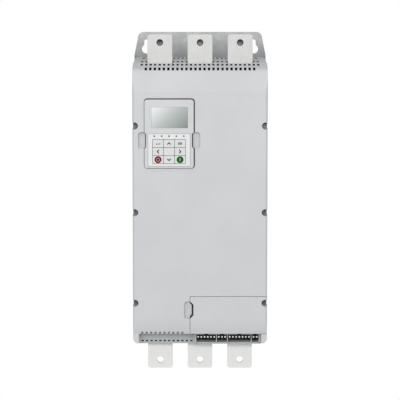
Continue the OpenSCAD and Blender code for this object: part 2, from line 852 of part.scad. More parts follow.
module front_cover() {
    color("gainsboro") {
        cover_tongues();
        difference() {
            union() {
                cover_skin();
                cover_backings();
                intersection() {
                    cover_form();
                    at_screws()
                        rod(0, 0, seam_depth, front_depth, boss_radius);
                }
            }
            cover_cuts();
            at_screws()
                rod(0, 0, screw_seat, front_depth + overcut, channel_radius);
            at_screws()
                rod(0, 0, seam_depth - overcut, front_depth, screw_radius + seat_clearance);
            block(-notch_half, notch_half, seam_depth - overcut, front_depth, low, bevel_end);
            block(cover_left - cover_gap, half_body + overcut, cover_back, front_depth + overcut,
                bevel_end - cover_gap, cover_top + cover_gap);
            front_row(brow_vents, seam_depth - overcut, brow_vent_low, brow_vent_rise);
            front_row(roof_vents, seam_depth - overcut, second_vent_low, second_vent_rise);
            bar_slots(crease_height, high);
            for (i = [0:lip_vents - 1])
                translate([first_vent + i * vent_pitch, 0, 0])
                    block(-vent_width / 2, vent_width / 2, tray_front, front_depth,
                        bevel_end - overcut, bevel_end + vent_width);
        }
    }
}

module terminal_cover() {
    inner_left = cover_left + grip_depth;
    face = front_depth - shell_wall;
    shelf = tray_shelf + slide_clearance;
    color("gainsboro")
        difference() {
            union() {
                intersection() {
                    cover_skin();
                    block(cover_left, half_body, cover_back + cover_gap, front_depth, bevel_end, cover_top);
                }
                block(inner_left, inner_left + shell_wall, tray_front, face, shelf, cover_top);
                block(inner_left, tray_right, tray_front, face, cover_top - shell_wall, cover_top);
                intersection() {
                    cover_form();
                    block(0, half_body, cover_back + cover_gap, front_depth, bevel_end, cover_top);
                    rod(screw_offset, lower_screw, cover_back, front_depth, boss_radius);
                }
            }
            rod(screw_offset, lower_screw, cover_back, front_depth + overcut, channel_radius);
            facing(cover_back, front_depth + overcut)
                notch_outline(cover_left, grip_depth, grip_bottom, grip_top);
        }
}

// Frame that guides the plugs: a visor above them and a post between each two
module plug_frame() {
    difference() {
        block(ledge_left, notch_half - slide_clearance, tray_front, plug_face - overcut,
            floor_top, plug_top + latch_rise);
        for (n = [0:len(plug_poles) - 1]) {
            block(plug_left(n) - slide_clearance, plug_left(n) + plug_widths[n] + slide_clearance,
                tray_front - overcut, plug_face, floor_top - overcut, plug_top + slide_clearance);
            rod(plug_left(n) + plug_widths[n] / 2, plug_top + latch_rise - latch_radius,
                tray_front - overcut, plug_face, latch_radius + slide_clearance);
        }
    }
}

module terminal_tray() {
    upper_left = cover_left - cover_gap - grip_recess;
    shelf_front = front_depth - bevel_setback - shell_wall - slide_clearance;
    color("silver")
        difference() {
            union() {
                block(-tray_half, tray_half, tray_back, tray_front, body_bottom, tray_shelf);
                block(upper_left, tray_right, tray_back, tray_front, tray_shelf - tray_wall, cover_top);
                block(-tray_half, tray_half, tray_back, shelf_front, tray_shelf - tray_wall, tray_shelf);
                block(-tray_half, tray_half, seam_depth, tray_front, body_bottom, floor_top);
                block(ledge_left, notch_half - slide_clearance, tray_back, tray_front + ledge_reach,
                    body_bottom, floor_top);
                block(ledge_left - tray_wall, ledge_left, tray_back, tray_front + ledge_reach,
                    body_bottom, tray_shelf);
                plug_frame();
                for (x = [0, tray_right - boss_radius])
                    rod(x, control_board_high - boss_radius, header_back, tray_front, standoff_radius);
            }
            bar_slots(body_bottom - overcut, floor_top + overcut);
            for (n = [0:len(plug_poles) - 1])
                block(plug_left(n) - seat_clearance, plug_left(n) + plug_widths[n] + seat_clearance,
                    tray_back - overcut, tray_front + overcut,
                    plug_bottom - seat_clearance, plug_top + seat_clearance);
            for (i = [0:tray_vents - 1])
                translate([first_vent + i * vent_pitch, 0, 0])
                    block(-vent_width / 2, vent_width / 2, tray_back - overcut, tray_front + overcut,
                        floor_top, floor_top + tray_vent_rise);
        }
}

module cover_screws() {
    color("dimgray")
        at_screws()
            difference() {
                union() {
                    rod(0, 0, screw_seat, screw_seat + screw_head, screw_head_radius);
                    rod(0, 0, screw_seat - screw_length + overcut, screw_seat + overcut, screw_radius);
                }
                for (turn = [0, 90])
                    rotate([0, turn, 0])
                        block(-screw_head_radius / 2, screw_head_radius / 2,
                            screw_seat + screw_head / 2, screw_seat + screw_head + overcut,
                            -screw_radius / 4, screw_radius / 4);
            }
}

// Flat bar with its cable hole near one end and its bolt holes near the other
module bus_bar(z_inner, z_end, hole, bolt) {
    color("whitesmoke")
        facing(bar_back, bar_front)
            difference() {
                translate([0, (z_inner + z_end) / 2])
                    rounded(bar_width, abs(z_end - z_inner), bar_radius);
                translate([0, hole])
                    circle(r = bar_hole_radius);
                for (x = sides)
                    translate([x * bar_width / 4, bolt])
                        circle(r = bolt_radius + seat_clearance);
            }
}

module input_bar(phase) {
    translate([phase * phase_pitch, 0, 0])
        bus_bar(bar_inner_end, input_end, input_end - bar_hole_inset, bolt_offset);
}

module output_bar(phase) {
    translate([phase * phase_pitch, 0, 0])
        bus_bar(-bar_inner_end, output_end, output_end + bar_hole_inset, -bolt_offset);
}

module input_bar_1() input_bar(-1);
module input_bar_2() input_bar(0);
module input_bar_3() input_bar(1);
module output_bar_1() output_bar(-1);
module output_bar_2() output_bar(0);
module output_bar_3() output_bar(1);

// Every place of a bar bolt
module at_bolts() {
    for (phase = phases, x = sides, z = sides)
        translate([phase * phase_pitch + x * bar_width / 4, 0, z * bolt_offset])
            children();
}

module bar_bolts() {
    color("darkgray")
        at_bolts() {
            rod(0, 0, bar_back - bolt_depth, bar_front + overcut, bolt_radius);
            translate([0, -bar_front, 0])
                rotate([90, 0, 0])
                    cylinder(h = bolt_head, r = bolt_head_radius, $fn = hex);
        }
}

module heatsink() {
    step = (2 * heatsink_half - fin_thickness) / (fin_count - 1);
    color("silver") {
        block(-heatsink_half, heatsink_half, fin_front, heatsink_front, heatsink_low, heatsink_high);
        for (i = [0:fin_count - 1])
            translate([i * step - heatsink_half, 0, 0])
                block(0, fin_thickness, plate_thickness, fin_front + overcut, heatsink_low, heatsink_high);
    }
}

// Power module with a waist between its two bar terminals
module power_block(x0, x1) {
    waist = bar_inner_end - overcut;
    color("dimgray")
        difference() {
            block(x0, x1, heatsink_front, bar_back, -module_length / 2, module_length / 2);
            block(x0 - overcut, x1 + overcut, bar_back - bar_thickness, bar_back + overcut, -waist, waist);
            at_bolts()
                rod(0, 0, bar_back - bolt_depth - overcut, bar_back + overcut, bolt_radius + seat_clearance);
        }
}

module thyristor_module(phase) {
    right = phase * phase_pitch + (thyristor_width - relay_width) / 2 - module_gap / 2;
    power_block(right - thyristor_width, right);
}

module bypass_relay(phase) {
    left = phase * phase_pitch + (thyristor_width - relay_width) / 2 + module_gap / 2;
    power_block(left, left + relay_width);
}

module thyristor_module_1() thyristor_module(-1);
module thyristor_module_2() thyristor_module(0);
module thyristor_module_3() thyristor_module(1);
module bypass_relay_1() bypass_relay(-1);
module bypass_relay_2() bypass_relay(0);
module bypass_relay_3() bypass_relay(1);

// Block that stands on the heatsink base around an output bar
module current_transformer(phase) {
    half = transformer_length / 2;
    color("darkslategray")
        translate([phase * phase_pitch, 0, transformer_height])
            difference() {
                block(-transformer_width / 2, transformer_width / 2, heatsink_front,
                    bar_front + transformer_front, -half, half);
                block(-bar_width / 2 - seat_clearance, bar_width / 2 + seat_clearance,
                    bar_back - seat_clearance, bar_front + seat_clearance,
                    -half - overcut, half + overcut);
            }
}

module current_transformer_1() current_transformer(-1);
module current_transformer_2() current_transformer(0);
module current_transformer_3() current_transformer(1);

// Square frame with a round duct, struts and the motor base
module fan_frame(side) {
    corner = fan_size / 2 - strut_width;
    color("dimgray")
        translate([side * fan_spacing / 2, -fan_mid, floor_top]) {
            linear_extrude(height = fan_rise)
                difference() {
                    rounded(fan_size, fan_size, fan_wall);
                    circle(r = fan_bore);
                    for (x = sides, y = sides)
                        translate([x * corner, y * corner])
                            circle(r = strut_width / 2);
                }
            cylinder(h = strut_rise, r = hub_radius);
            for (turn = [0, 90])
                rotate([0, 0, turn + 45])
                    translate([-fan_bore - overcut, -strut_width / 2, 0])
                        cube([2 * (fan_bore + overcut), strut_width, strut_rise]);
        }
}

// Hub with slanted blades
module fan_rotor(side) {
    rise = rotor_top - rotor_bottom;
    color("black")
        translate([side * fan_spacing / 2, -fan_mid, rotor_bottom]) {
            cylinder(h = rise, r = hub_radius);
            intersection() {
                cylinder(h = rise, r = blade_tip);
                for (i = [0:blade_count - 1])
                    rotate([0, 0, i * 360 / blade_count])
                        translate([0, 0, rise / 2])
                            rotate([blade_angle, 0, 0])
                                translate([hub_radius - overcut, -blade_thickness / 2, -rise])
                                    cube([blade_tip, blade_thickness, 2 * rise]);
            }
        }
}

module fan_frame_left() fan_frame(-1);
module fan_frame_right() fan_frame(1);
module fan_rotor_left() fan_rotor(-1);
module fan_rotor_right() fan_rotor(1);

module power_board() {
    color("darkgreen")
        block(-power_board_half, power_board_half, power_board_back, power_board_front,
            power_board_low, power_board_high);
}

module board_standoffs() {
    color("silver")
        for (x = sides, z = [standoff_low, standoff_low + standoff_rise])
            rod(x * phase_pitch / 2, z, heatsink_front, power_board_back, standoff_radius);
}

module board_capacitors() {
    color("black")
        for (i = [0:capacitor_count - 1])
            rod(phase_pitch, (i - 1) * capacitor_pitch, power_board_front,
                power_board_front + capacitor_rise, capacitor_radius);
}

module control_board() {
    color("darkgreen")
        block(ledge_left, tray_right, header_back - board_thickness, header_back, floor_top + seat_clearance,
            control_board_high);
}

module terminal_headers() {
    color("dimgray")
        for (n = [0:len(plug_poles) - 1])
            difference() {
                block(plug_left(n), plug_left(n) + plug_widths[n], header_back, tray_front,
                    plug_bottom, plug_top);
                block(plug_left(n) + header_wall, plug_left(n) + plug_widths[n] - header_wall,
                    tray_front - tongue_length - slide_clearance, tray_front + overcut,
                    plug_bottom + header_wall, plug_top - header_wall);
            }
}

// Terminal block with a row of wire entries, a latch and a tongue
module terminal_plug(n) {
    left = plug_left(n);
    right = left + plug_widths[n];
    inset = header_wall + slide_clearance;
    face = plug_face;
    color("black")
        difference() {
            union() {
                block(left, right, tray_front, face, plug_bottom, plug_top);
                block(left + inset, right - inset, tray_front - tongue_length, tray_front + overcut,
                    plug_bottom + inset, plug_top - inset);
                intersection() {
                    rod((left + right) / 2, plug_top + latch_rise - latch_radius,
                        face - latch_length, face - overcut, latch_radius);
                    block(left, right, tray_front, face, plug_bottom + inset, plug_top + latch_rise);
                }
            }
            for (i = [0:plug_poles[n] - 1])
                rod(left + (i + 1 / 2) * pole_pitch, plug_bottom + entry_height,
                    face - entry_depth, face + overcut, entry_radius);
        }
}

module terminal_plug_1() terminal_plug(0);
module terminal_plug_2() terminal_plug(1);
module terminal_plug_3() terminal_plug(2);
module terminal_plug_4() terminal_plug(3);

// Outer outline of the keypad with its two grip notches
module keypad_outline() {
    difference() {
        translate([keypad_mid, keypad_bottom + keypad_rise / 2])
            rounded(keypad_width, keypad_rise, keypad_radius);
        notch_outline(keypad_left, notch_depth, notch_bottom, notch_top);
        notch_outline(keypad_right, -notch_depth, notch_bottom, notch_top);
    }
}

// Rectangle on the keypad's middle line
module keypad_panel(width, rise, z_mid, r) {
    translate([keypad_mid, z_mid])
        rounded(width, rise, r);
}

// Outline of the display window, grown by a margin all round
module window_outline(margin) {
    translate([window_shift, 0])
        keypad_panel(window_width + 2 * margin, window_rise + 2 * margin, window_mid, key_radius);
}

// Hollow of the keypad shells
module keypad_hollow() {
    keypad_panel(keypad_inside, keypad_inside_rise, keypad_bottom + keypad_rise / 2, keypad_radius / 2);
}

// Every place of a status light
module at_lights() {
    for (i = [0:light_count - 1])
        translate([keypad_mid + (i - (light_count - 1) / 2) * light_pitch, light_level])
            children();
}

module keypad_housing() {
    color("lightgray")
        difference() {
            facing(split_depth, keypad_front)
                keypad_outline();
            facing(split_depth - overcut, keypad_face_back)
                keypad_hollow();
            facing(keypad_front - window_thickness, keypad_front + overcut)
                window_outline(seat_clearance);
            facing(keypad_face_back - overcut, keypad_front)
                window_outline(-window_ledge);
            facing(keypad_face_back - overcut, keypad_front + overcut)
                keypad_panel(grid_width + key_gap, grid_rise + key_gap, grid_mid, key_radius);
            facing(keypad_face_back - overcut, keypad_front + overcut)
                at_lights()
                    circle(r = light_radius + seat_clearance);
        }
}

module keypad_back() {
    color("dimgray") {
        difference() {
            facing(keypad_back_depth, split_depth)
                keypad_outline();
            facing(keypad_back_depth + keypad_wall, split_depth + overcut)
                keypad_hollow();
            translate([keypad_mid, 0, connector_level])
                facing(keypad_back_depth - overcut, keypad_board_back)
                    square([
                        connector_width + 2 * seat_clearance,
                        connector_rise + 2 * seat_clearance
                    ], center = true);
        }
        for (x = sides, z = sides)
            rod(keypad_mid + x * (keypad_inside / 2 - standoff_radius),
                keypad_bottom + keypad_rise / 2 + z * (keypad_inside_rise / 2 - standoff_radius),
                keypad_back_depth + overcut, keypad_board_back, standoff_radius - overcut);
    }
}

module keypad_board() {
    color("darkgreen")
        facing(keypad_board_back, keypad_board_front)
            keypad_panel(keypad_inside - overcut, keypad_inside_rise - overcut,
                keypad_bottom + keypad_rise / 2, key_radius);
}

module keypad_connector() {
    color("black")
        translate([keypad_mid, 0, connector_level])
            facing(power_board_front + overcut, keypad_board_back)
                square([connector_width, connector_rise], center = true);
}

module keypad_socket() {
    color("black")
        translate([keypad_mid, 0, connector_level])
            difference() {
                facing(power_board_front, socket_front)
                    square([
                        connector_width + 2 * (slide_clearance + socket_wall),
                        connector_rise + 2 * (slide_clearance + socket_wall)
                    ], center = true);
                facing(power_board_front + overcut - slide_clearance, socket_front + overcut)
                    square([
                        connector_width + 2 * slide_clearance,
                        connector_rise + 2 * slide_clearance
                    ], center = true);
            }
}

module lcd_panel() {
    color("darkseagreen")
        facing(keypad_board_front, keypad_face_back)
            window_outline(0);
}

module display_window() {
    color("lightgray")
        facing(keypad_front - window_thickness, keypad_front)
            window_outline(0);
}

module keypad_overlay() {
    color("white")
        facing(keypad_front, overlay_front)
            difference() {
                keypad_panel(keypad_width - 2 * overlay_side, overlay_rise, overlay_mid, key_radius);
                keypad_panel(grid_width + key_gap, grid_rise + key_gap, grid_mid, key_radius);
                at_lights()
                    circle(r = light_radius + seat_clearance);
            }
}

// Every key place except the middle one
module at_keys() {
    for (column = [0:key_columns - 1], row = [0:key_rows - 1])
        if (column != 1 || row != 1)
            translate([key_x(column), key_z(row)])
                children();
}

// Face of one key
module key_outline() {
    rounded(key_pitch_x - key_gap, key_pitch_z - key_gap, key_radius);
}

module key_carrier() {
    rim = 2 * keypad_wall;
    color("white") {
        difference() {
            facing(carrier_back, keypad_face_back)
                keypad_panel(grid_width + key_gap + rim, grid_rise + key_gap + rim, grid_mid, key_radius);
            facing(carrier_front, keypad_face_back + overcut)
                keypad_panel(grid_width + key_gap, grid_rise + key_gap, grid_mid, key_radius);
            facing(carrier_back - overcut, carrier_front + overcut)
                at_keys()
                    square(key_stem + 2 * slide_clearance, center = true);
        }
        translate([key_x(1), 0, key_z(1)])
            facing(carrier_back + overcut, key_front)
                key_outline();
    }
}

module status_lights() {
    color("white")
        facing(keypad_board_front, overlay_front)
            at_lights()
                circle(r = light_radius);
}

// Key cap with a square stem
module key(column, row) {
    color("white")
        translate([key_x(column), 0, key_z(row)]) {
            facing(key_back_depth, key_front)
                key_outline();
            facing(stem_end, key_back_depth + overcut)
                square(key_stem, center = true);
        }
}

// Round coloured face on a key
module key_face(column, row) {
    translate([key_x(column), 0, key_z(row)])
        rod(0, 0, key_front, key_front + disc_thickness, disc_radius);
}

module key_back() key(0, 2);
module key_up() key(1, 2);
module key_menu() key(2, 2);
module key_left() key(0, 1);
module key_right() key(2, 1);
module key_stop() key(0, 0);
module key_down() key(1, 0);
module key_start() key(2, 0);
module stop_face() color("firebrick") key_face(0, 0);
module start_face() color("green") key_face(2, 0);

back_plate();
rear_housing();
bottom_panel();
front_cover();
terminal_cover();
terminal_tray();
cover_screws();
input_bar_1();
input_bar_2();
input_bar_3();
output_bar_1();
output_bar_2();
output_bar_3();
bar_bolts();
heatsink();
thyristor_module_1();
thyristor_module_2();
thyristor_module_3();
bypass_relay_1();
bypass_relay_2();
bypass_relay_3();
current_transformer_1();
current_transformer_2();
current_transformer_3();
fan_frame_left();
fan_frame_right();
fan_rotor_left();
fan_rotor_right();
power_board();
board_standoffs();
board_capacitors();
control_board();
terminal_headers();
terminal_plug_1();
terminal_plug_2();
terminal_plug_3();
terminal_plug_4();
keypad_housing();
keypad_back();
keypad_board();
keypad_connector();
keypad_socket();
lcd_panel();
display_window();
keypad_overlay();
key_carrier();
status_lights();
key_back();
key_up();
key_menu();
key_left();
key_right();
key_stop();
key_down();
key_start();
stop_face();
start_face();
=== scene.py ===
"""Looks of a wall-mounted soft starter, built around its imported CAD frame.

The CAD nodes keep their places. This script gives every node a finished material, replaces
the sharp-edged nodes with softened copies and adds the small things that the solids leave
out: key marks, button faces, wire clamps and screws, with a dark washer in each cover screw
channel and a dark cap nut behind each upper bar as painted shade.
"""

from __future__ import annotations

import json
import logging
import math
from dataclasses import dataclass, field
from enum import Enum
from typing import Any, Iterable, Sequence

import bmesh
import bpy
from mathutils import Matrix, Vector

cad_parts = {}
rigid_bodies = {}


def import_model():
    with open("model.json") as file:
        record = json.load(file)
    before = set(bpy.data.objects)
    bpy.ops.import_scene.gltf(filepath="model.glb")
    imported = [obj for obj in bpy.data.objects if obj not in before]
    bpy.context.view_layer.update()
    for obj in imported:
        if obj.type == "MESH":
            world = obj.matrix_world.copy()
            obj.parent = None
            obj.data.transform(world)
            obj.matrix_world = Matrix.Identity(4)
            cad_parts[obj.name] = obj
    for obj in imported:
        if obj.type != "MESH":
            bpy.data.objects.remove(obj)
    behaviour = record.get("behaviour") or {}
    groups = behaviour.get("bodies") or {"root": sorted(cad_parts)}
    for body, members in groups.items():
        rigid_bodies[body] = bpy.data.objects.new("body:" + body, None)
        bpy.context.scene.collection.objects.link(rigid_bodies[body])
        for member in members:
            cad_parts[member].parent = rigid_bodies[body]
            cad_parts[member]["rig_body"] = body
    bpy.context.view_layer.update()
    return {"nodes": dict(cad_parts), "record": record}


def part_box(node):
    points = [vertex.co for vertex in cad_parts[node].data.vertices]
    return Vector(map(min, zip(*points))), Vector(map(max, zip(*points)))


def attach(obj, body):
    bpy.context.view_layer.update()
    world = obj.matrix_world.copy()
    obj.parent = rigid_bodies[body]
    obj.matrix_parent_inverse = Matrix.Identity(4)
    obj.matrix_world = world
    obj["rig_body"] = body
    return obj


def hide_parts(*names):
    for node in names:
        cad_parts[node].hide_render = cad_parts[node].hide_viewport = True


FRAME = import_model()

LOG = logging.getLogger("soft_starter")
# A millimetre, the soft border of a painted region, and the gap that a turned piece closes
MM = 0.001
FADE = 0.1 * MM
JOIN = 1e-7
# Edges of a finished piece that are bent by more than this stay sharp
SHARP_DEGREES = 35
# Rays that look for an edge from each point of a surface
EDGE_SAMPLES = 4
FORWARD = Vector((0, -1, 0))
REARWARD = Vector((0, 1, 0))
DOWNWARD = Vector((0, 0, -1))

Pair = tuple[float, float]
Triple = tuple[float, float, float]
Outline = Sequence[Pair]
Limit = tuple[str, float, float]
Inputs = dict[str | int, Any]
Tree = bpy.types.NodeTree
Node = bpy.types.Node
Socket = bpy.types.NodeSocket
Material = bpy.types.Material
BMesh = bmesh.types.BMesh
# Patterns of the colour, the roughness and the relief
Patterns = tuple[Socket, Socket, Socket]
# Where each colour lies, and the colour
Layers = list[tuple[Socket, str]]


class Body(str, Enum):
    """CAD bodies that carry pieces of this script."""

    BODY = "body"
    KEYPAD = "keypad"


class Mark(Enum):
    """Plain symbols, a return arrow, three bars and chevrons, by the key that carries each."""

    RETURN = "back"
    LIST = "menu"
    UP = "up"
    DOWN = "down"
    LEFT = "left"
    RIGHT = "right"


# Node and mesh tools


def linear(colour: str) -> tuple[float, float, float, float]:
    """Turns an sRGB hex colour into linear values.

    Args:
        colour: Six hex digits after a hash sign.

    Returns:
        Red, green, blue and an alpha of one.
    """
    values = []
    for start in (1, 3, 5):
        share = int(colour[start : start + 2], 16) / 255
        values.append(share / 12.92 if share <= 0.04045 else ((share + 0.055) / 1.055) ** 2.4)
    return (values[0], values[1], values[2], 1.0)


def per_mm(size_mm: float) -> float:
    """Texture scale, in cells per metre, of a pattern with cells of this size."""
    return 1000 / size_mm


def add_node(tree: Tree, kind: str, inputs: Inputs | None = None, **settings: Any) -> Node:
    """Adds a shader node with its settings, its constants and its links.

    Args:
        tree: Node tree that gets the node.
        kind: Blender's name of the node type, without ShaderNode in front.
        inputs: Constant or output socket for each input named.
        settings: Properties of the node.

    Returns:
        The new node.
    """
    node = tree.nodes.new(f"ShaderNode{kind}")
    for name, value in settings.items():
        setattr(node, name, value)
    for name, value in (inputs or {}).items():
        if isinstance(value, Socket):
            tree.links.new(value, node.inputs[name])
        else:
            node.inputs[name].default_value = value
    return node


def add_piece(
    name: str,
    bm: BMesh,
    material: Material,
    body: str,
    replaced: Iterable[str] = (),
) -> bpy.types.Object:
    """Makes a finished piece of a bmesh and lets it ride on a CAD body.

    Args:
        name: Name of the piece.
        bm: Shape in the row frame, freed here.
        material: Finish of the piece.
        body: CAD body that carries it.
        replaced: CAD nodes that the piece stands for.

    Returns:
        The new object.
    """
    mesh = bpy.data.meshes.new(name)
    bm.to_mesh(mesh)
    bm.free()
    mesh.shade_smooth()
    mesh.set_sharp_from_angle(angle=math.radians(SHARP_DEGREES))
    mesh.materials.append(material)
    piece = bpy.data.objects.new(name, mesh)
    bpy.context.scene.collection.objects.link(piece)
    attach(piece, body)
    if replaced:
        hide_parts(*replaced)
    LOG.info("%s rides on %s", name, body)
    return piece


def raise_faces(bm: BMesh, faces: Iterable[bmesh.types.BMFace], step: Vector) -> None:
    """Extrudes flat faces into a closed plate.

    Args:
        bm: Mesh that holds the faces.
        faces: Faces in one plane.
        step: Way from that plane to the other side of the plate.
    """
    made = bmesh.ops.extrude_face_region(bm, geom=list(faces))
    moved = [item for item in made["geom"] if isinstance(item, bmesh.types.BMVert)]
    bmesh.ops.translate(bm, verts=moved, vec=step)
    bmesh.ops.recalc_face_normals(bm, faces=bm.faces)


def stamp(bm: BMesh, outline: Outline, centre: Vector, thickness: float) -> None:
    """Lays a plate on a face that looks forward, its corners in millimetres from the centre."""
    corners = [bm.verts.new(centre + Vector((x * MM, 0, z * MM))) for x, z in outline]
    raise_faces(bm, [bm.faces.new(corners)], Vector((0, -thickness, 0)))


def oblong(half: float, rise: float, level: float = 0.0) -> Outline:
    """Corners of a rectangle, from half its width and half its height around a level."""
    low, high = level - rise, level + rise
    return [(-half, low), (half, low), (half, high), (-half, high)]


def hollow(inner: float, outer: float, thick: float) -> Outline:
    """Closed profile of a flat ring, from its two radii and its thickness."""
    return [(inner, 0), (outer, 0), (outer, thick), (inner, thick), (inner, 0)]


def turned(bm: BMesh, profile: Outline, place: Matrix, steps: int) -> None:
    """Adds a round piece, turned from a profile around its own z axis.

    Args:
        bm: Mesh that gets the piece.
        profile: Radius and height of each corner in millimetres, from axis to axis.
        place: Place and direction of the piece.
        steps: Number of segments around.
    """
    lathe = bmesh.new()
    corners = [lathe.verts.new((r * MM, 0, z * MM)) for r, z in profile]
    edges = [lathe.edges.new(pair) for pair in zip(corners, corners[1:])]
    bmesh.ops.spin(
        lathe,
        geom=corners + edges,
        axis=(0, 0, 1),
        cent=(0, 0, 0),
        angle=math.tau,
        steps=steps,
        use_merge=True,
    )
    bmesh.ops.remove_doubles(lathe, verts=lathe.verts, dist=JOIN)
    bmesh.ops.recalc_face_normals(lathe, faces=lathe.faces)
    bmesh.ops.transform(lathe, matrix=place, verts=lathe.verts)
    part = bpy.data.meshes.new("turned")
    lathe.to_mesh(part)
    lathe.free()
    bm.from_mesh(part)
    bpy.data.meshes.remove(part)


def facing(place: Vector, direction: Vector) -> Matrix:
    """Matrix that puts a turned piece at a place, with its z axis along a direction."""
    return Matrix.Translation(place) @ direction.to_track_quat("Z", "Y").to_matrix().to_4x4()


# Finishes

# Fields of a finish that are constants on the shader's own sockets
CONSTANTS = {
    "ior": "IOR",
    "shine": "Specular IOR Level",
    "coat": "Coat Weight",
    "coat_roughness": "Coat Roughness",
    "metallic": "Metallic",
}


@dataclass(frozen=True)
class Paint:
    """Patterns for a new material.

    Args:
        tree: Tree of the material.
        place: Object coordinates, which the patterns follow.
    """

    tree: Tree
    place: Socket

    def cloud(self, size_mm: float) -> Socket:
        """Draws soft patches.

        Args:
            size_mm: Size of the patches.

        Returns:
            A value from 0 to 1.
        """
        scale = per_mm(size_mm)
        noise = add_node(
            self.tree,
            "TexNoise",
            {"Vector": self.place, "Scale": scale, "Detail": 3.0, "Roughness": 0.55},
        )
        return add_node(
            self.tree,
            "MapRange",
            {"Value": noise.outputs["Fac"], "From Min": 0.3, "From Max": 0.7},
            interpolation_type="SMOOTHSTEP",
        ).outputs["Result"]

    def zone(self, limits: Iterable[Limit], most: Any = 1.0, way: Socket | None = None) -> Socket:
        """Marks a region of the surface, or the faces that look one way.

        Args:
            limits: Axis and where the region has not begun and where it is full, in metres.
            most: Value inside the region, or the socket that gives it.
            way: Direction of the faces, where that is marked and not a region.

        Returns:
            A value from 0 outside the region to the most inside it.
        """
        vector = self.place if way is None else way
        axes = add_node(self.tree, "SeparateXYZ", {"Vector": vector}).outputs
        share = most
        for axis, none, full in limits:
            share = add_node(
                self.tree,
                "MapRange",
                {"Value": axes[axis], "From Min": none, "From Max": full, "To Max": share},
            ).outputs["Result"]
        return share


@dataclass(frozen=True)
class Finish:
    """A material whose colour and gloss drift a little over the surface.

    Args:
        name: What the material is and how its surface was made.
        colour: Main colour.
        drift: Colour that it drifts to.
        roughness: Middle of the roughness.
        edge_mm: Radius that the edges seem to have.
        swing: How far the roughness goes either way.
        bump: Depth of the relief in millimetres and the share of it that shows.
    """

    name: str
    colour: str
    drift: str
    roughness: float
    edge_mm: float = 0.4
    swing: float = 0.05
    bump: Pair = (0.01, 0.15)

    def make(self) -> Material:
        """Builds the material: layers of colour, the roughness, the relief and the constants.

        Returns:
            The new material.
        """
        material = bpy.data.materials.new(self.name)
        material.use_nodes = True
        material.diffuse_color = linear(self.colour)
        tree = material.node_tree
        tree.nodes.clear()
        paint = Paint(tree, add_node(tree, "TexCoord").outputs["Object"])
        drift, gloss, height = self.patterns(paint)
        colour: Any = linear(self.colour)
        for share, over in [(drift, self.drift), *self.layers(paint)]:
            mix = {0: share, 6: colour, 7: linear(over)}
            colour = add_node(tree, "Mix", mix, data_type="RGBA").outputs[2]
        low, high = self.roughness - self.swing, self.roughness + self.swing
        rough = add_node(tree, "MapRange", {"Value": gloss, "To Min": low, "To Max": high})
        edge = add_node(tree, "Bevel", {"Radius": self.edge_mm * MM}, samples=EDGE_SAMPLES)
        depth_mm, strength = self.bump
        relief = {"Strength": strength, "Distance": depth_mm * MM, "Height": height}
        bump = add_node(tree, "Bump", {**relief, "Normal": edge.outputs["Normal"]})
        inputs = {socket: getattr(self, name, None) for name, socket in CONSTANTS.items()}
        inputs = {socket: value for socket, value in inputs.items() if value is not None}
        inputs["Base Color"] = colour
        inputs["Roughness"] = rough.outputs["Result"]
        inputs["Normal"] = bump.outputs["Normal"]
        shader = add_node(tree, "BsdfPrincipled", inputs)
        add_node(tree, "OutputMaterial", {"Surface": shader.outputs["BSDF"]})
        return material

    def patterns(self, paint: Paint) -> Patterns:
        """Draws the patterns of the colour, the roughness and the relief, from 0 to 1."""
        raise NotImplementedError

    def layers(self, paint: Paint) -> Layers:
        """Places and colours that lie over the main colour: most finishes have none."""
        return []


@dataclass(frozen=True)
class MouldedPlastic(Finish):
    """Plastic from a spark-eroded mould: a fine even grain, faint flow clouds, and edges in a
    colour of their own, lighter where hands rub and darker as painted shade on the cover.

    Args:
        edge_wear_and_shade: Colour of the edges: lighter where hands and tools rub, and darker as
            painted shade where it is darker than the main colour, as on the cover.
        edge_wear_and_shade_band: Width of the edge band in millimetres and its share right at the
            edge.
        cloud_mm: Size of the flow clouds.
        grain_mm: Size of the grain, drawn about twice as coarse as it is so that it shows.
        ior: Index of refraction of the plastic.
        shine: Specular level, lower where a fine grain scatters the light.
    """

    bump: Pair = (0.06, 0.25)
    edge_wear_and_shade: str = "#D9DADB"
    edge_wear_and_shade_band: Pair = (1.2, 0.35)
    cloud_mm: float = 70.0
    grain_mm: float = 0.9
    ior: float = 1.53
    shine: float = 0.5

    def patterns(self, paint: Paint) -> Patterns:
        """Draws clouds for the colour and the gloss and grain for the surface.

        Args:
            paint: Patterns for the material.

        Returns:
            Patterns of the colour, the roughness and the relief.
        """
        cloud = paint.cloud(self.cloud_mm)
        fine = {"Vector": paint.place, "Scale": per_mm(self.grain_mm), "Detail": 2.0}
        return cloud, cloud, add_node(paint.tree, "TexNoise", fine).outputs["Fac"]

    def layers(self, paint: Paint) -> Layers:
        """Colours the edges: lighter where hands rub, darker as painted shade where the edge
        colour is darker.

        Args:
            paint: Patterns for the material.

        Returns:
            Where each colour lies, and the colour.
        """
        # The edge colour is lighter where hands rub, and darker as painted shade where it is
        # darker, as on the cover
        reach_mm, most = self.edge_wear_and_shade_band
        edge = add_node(paint.tree, "Bevel", {"Radius": reach_mm * MM}, samples=EDGE_SAMPLES)
        flat = add_node(paint.tree, "NewGeometry")
        both = {0: edge.outputs["Normal"], 1: flat.outputs["True Normal"]}
        match = add_node(paint.tree, "VectorMath", both, operation="DOT_PRODUCT")
        edge_wear_and_shade_share = add_node(
            paint.tree,
            "MapRange",
            {"Value": match.outputs["Value"], "From Min": 0.98, "From Max": 0.75, "To Max": most},
        )
        return [(edge_wear_and_shade_share.outputs["Result"], self.edge_wear_and_shade)]


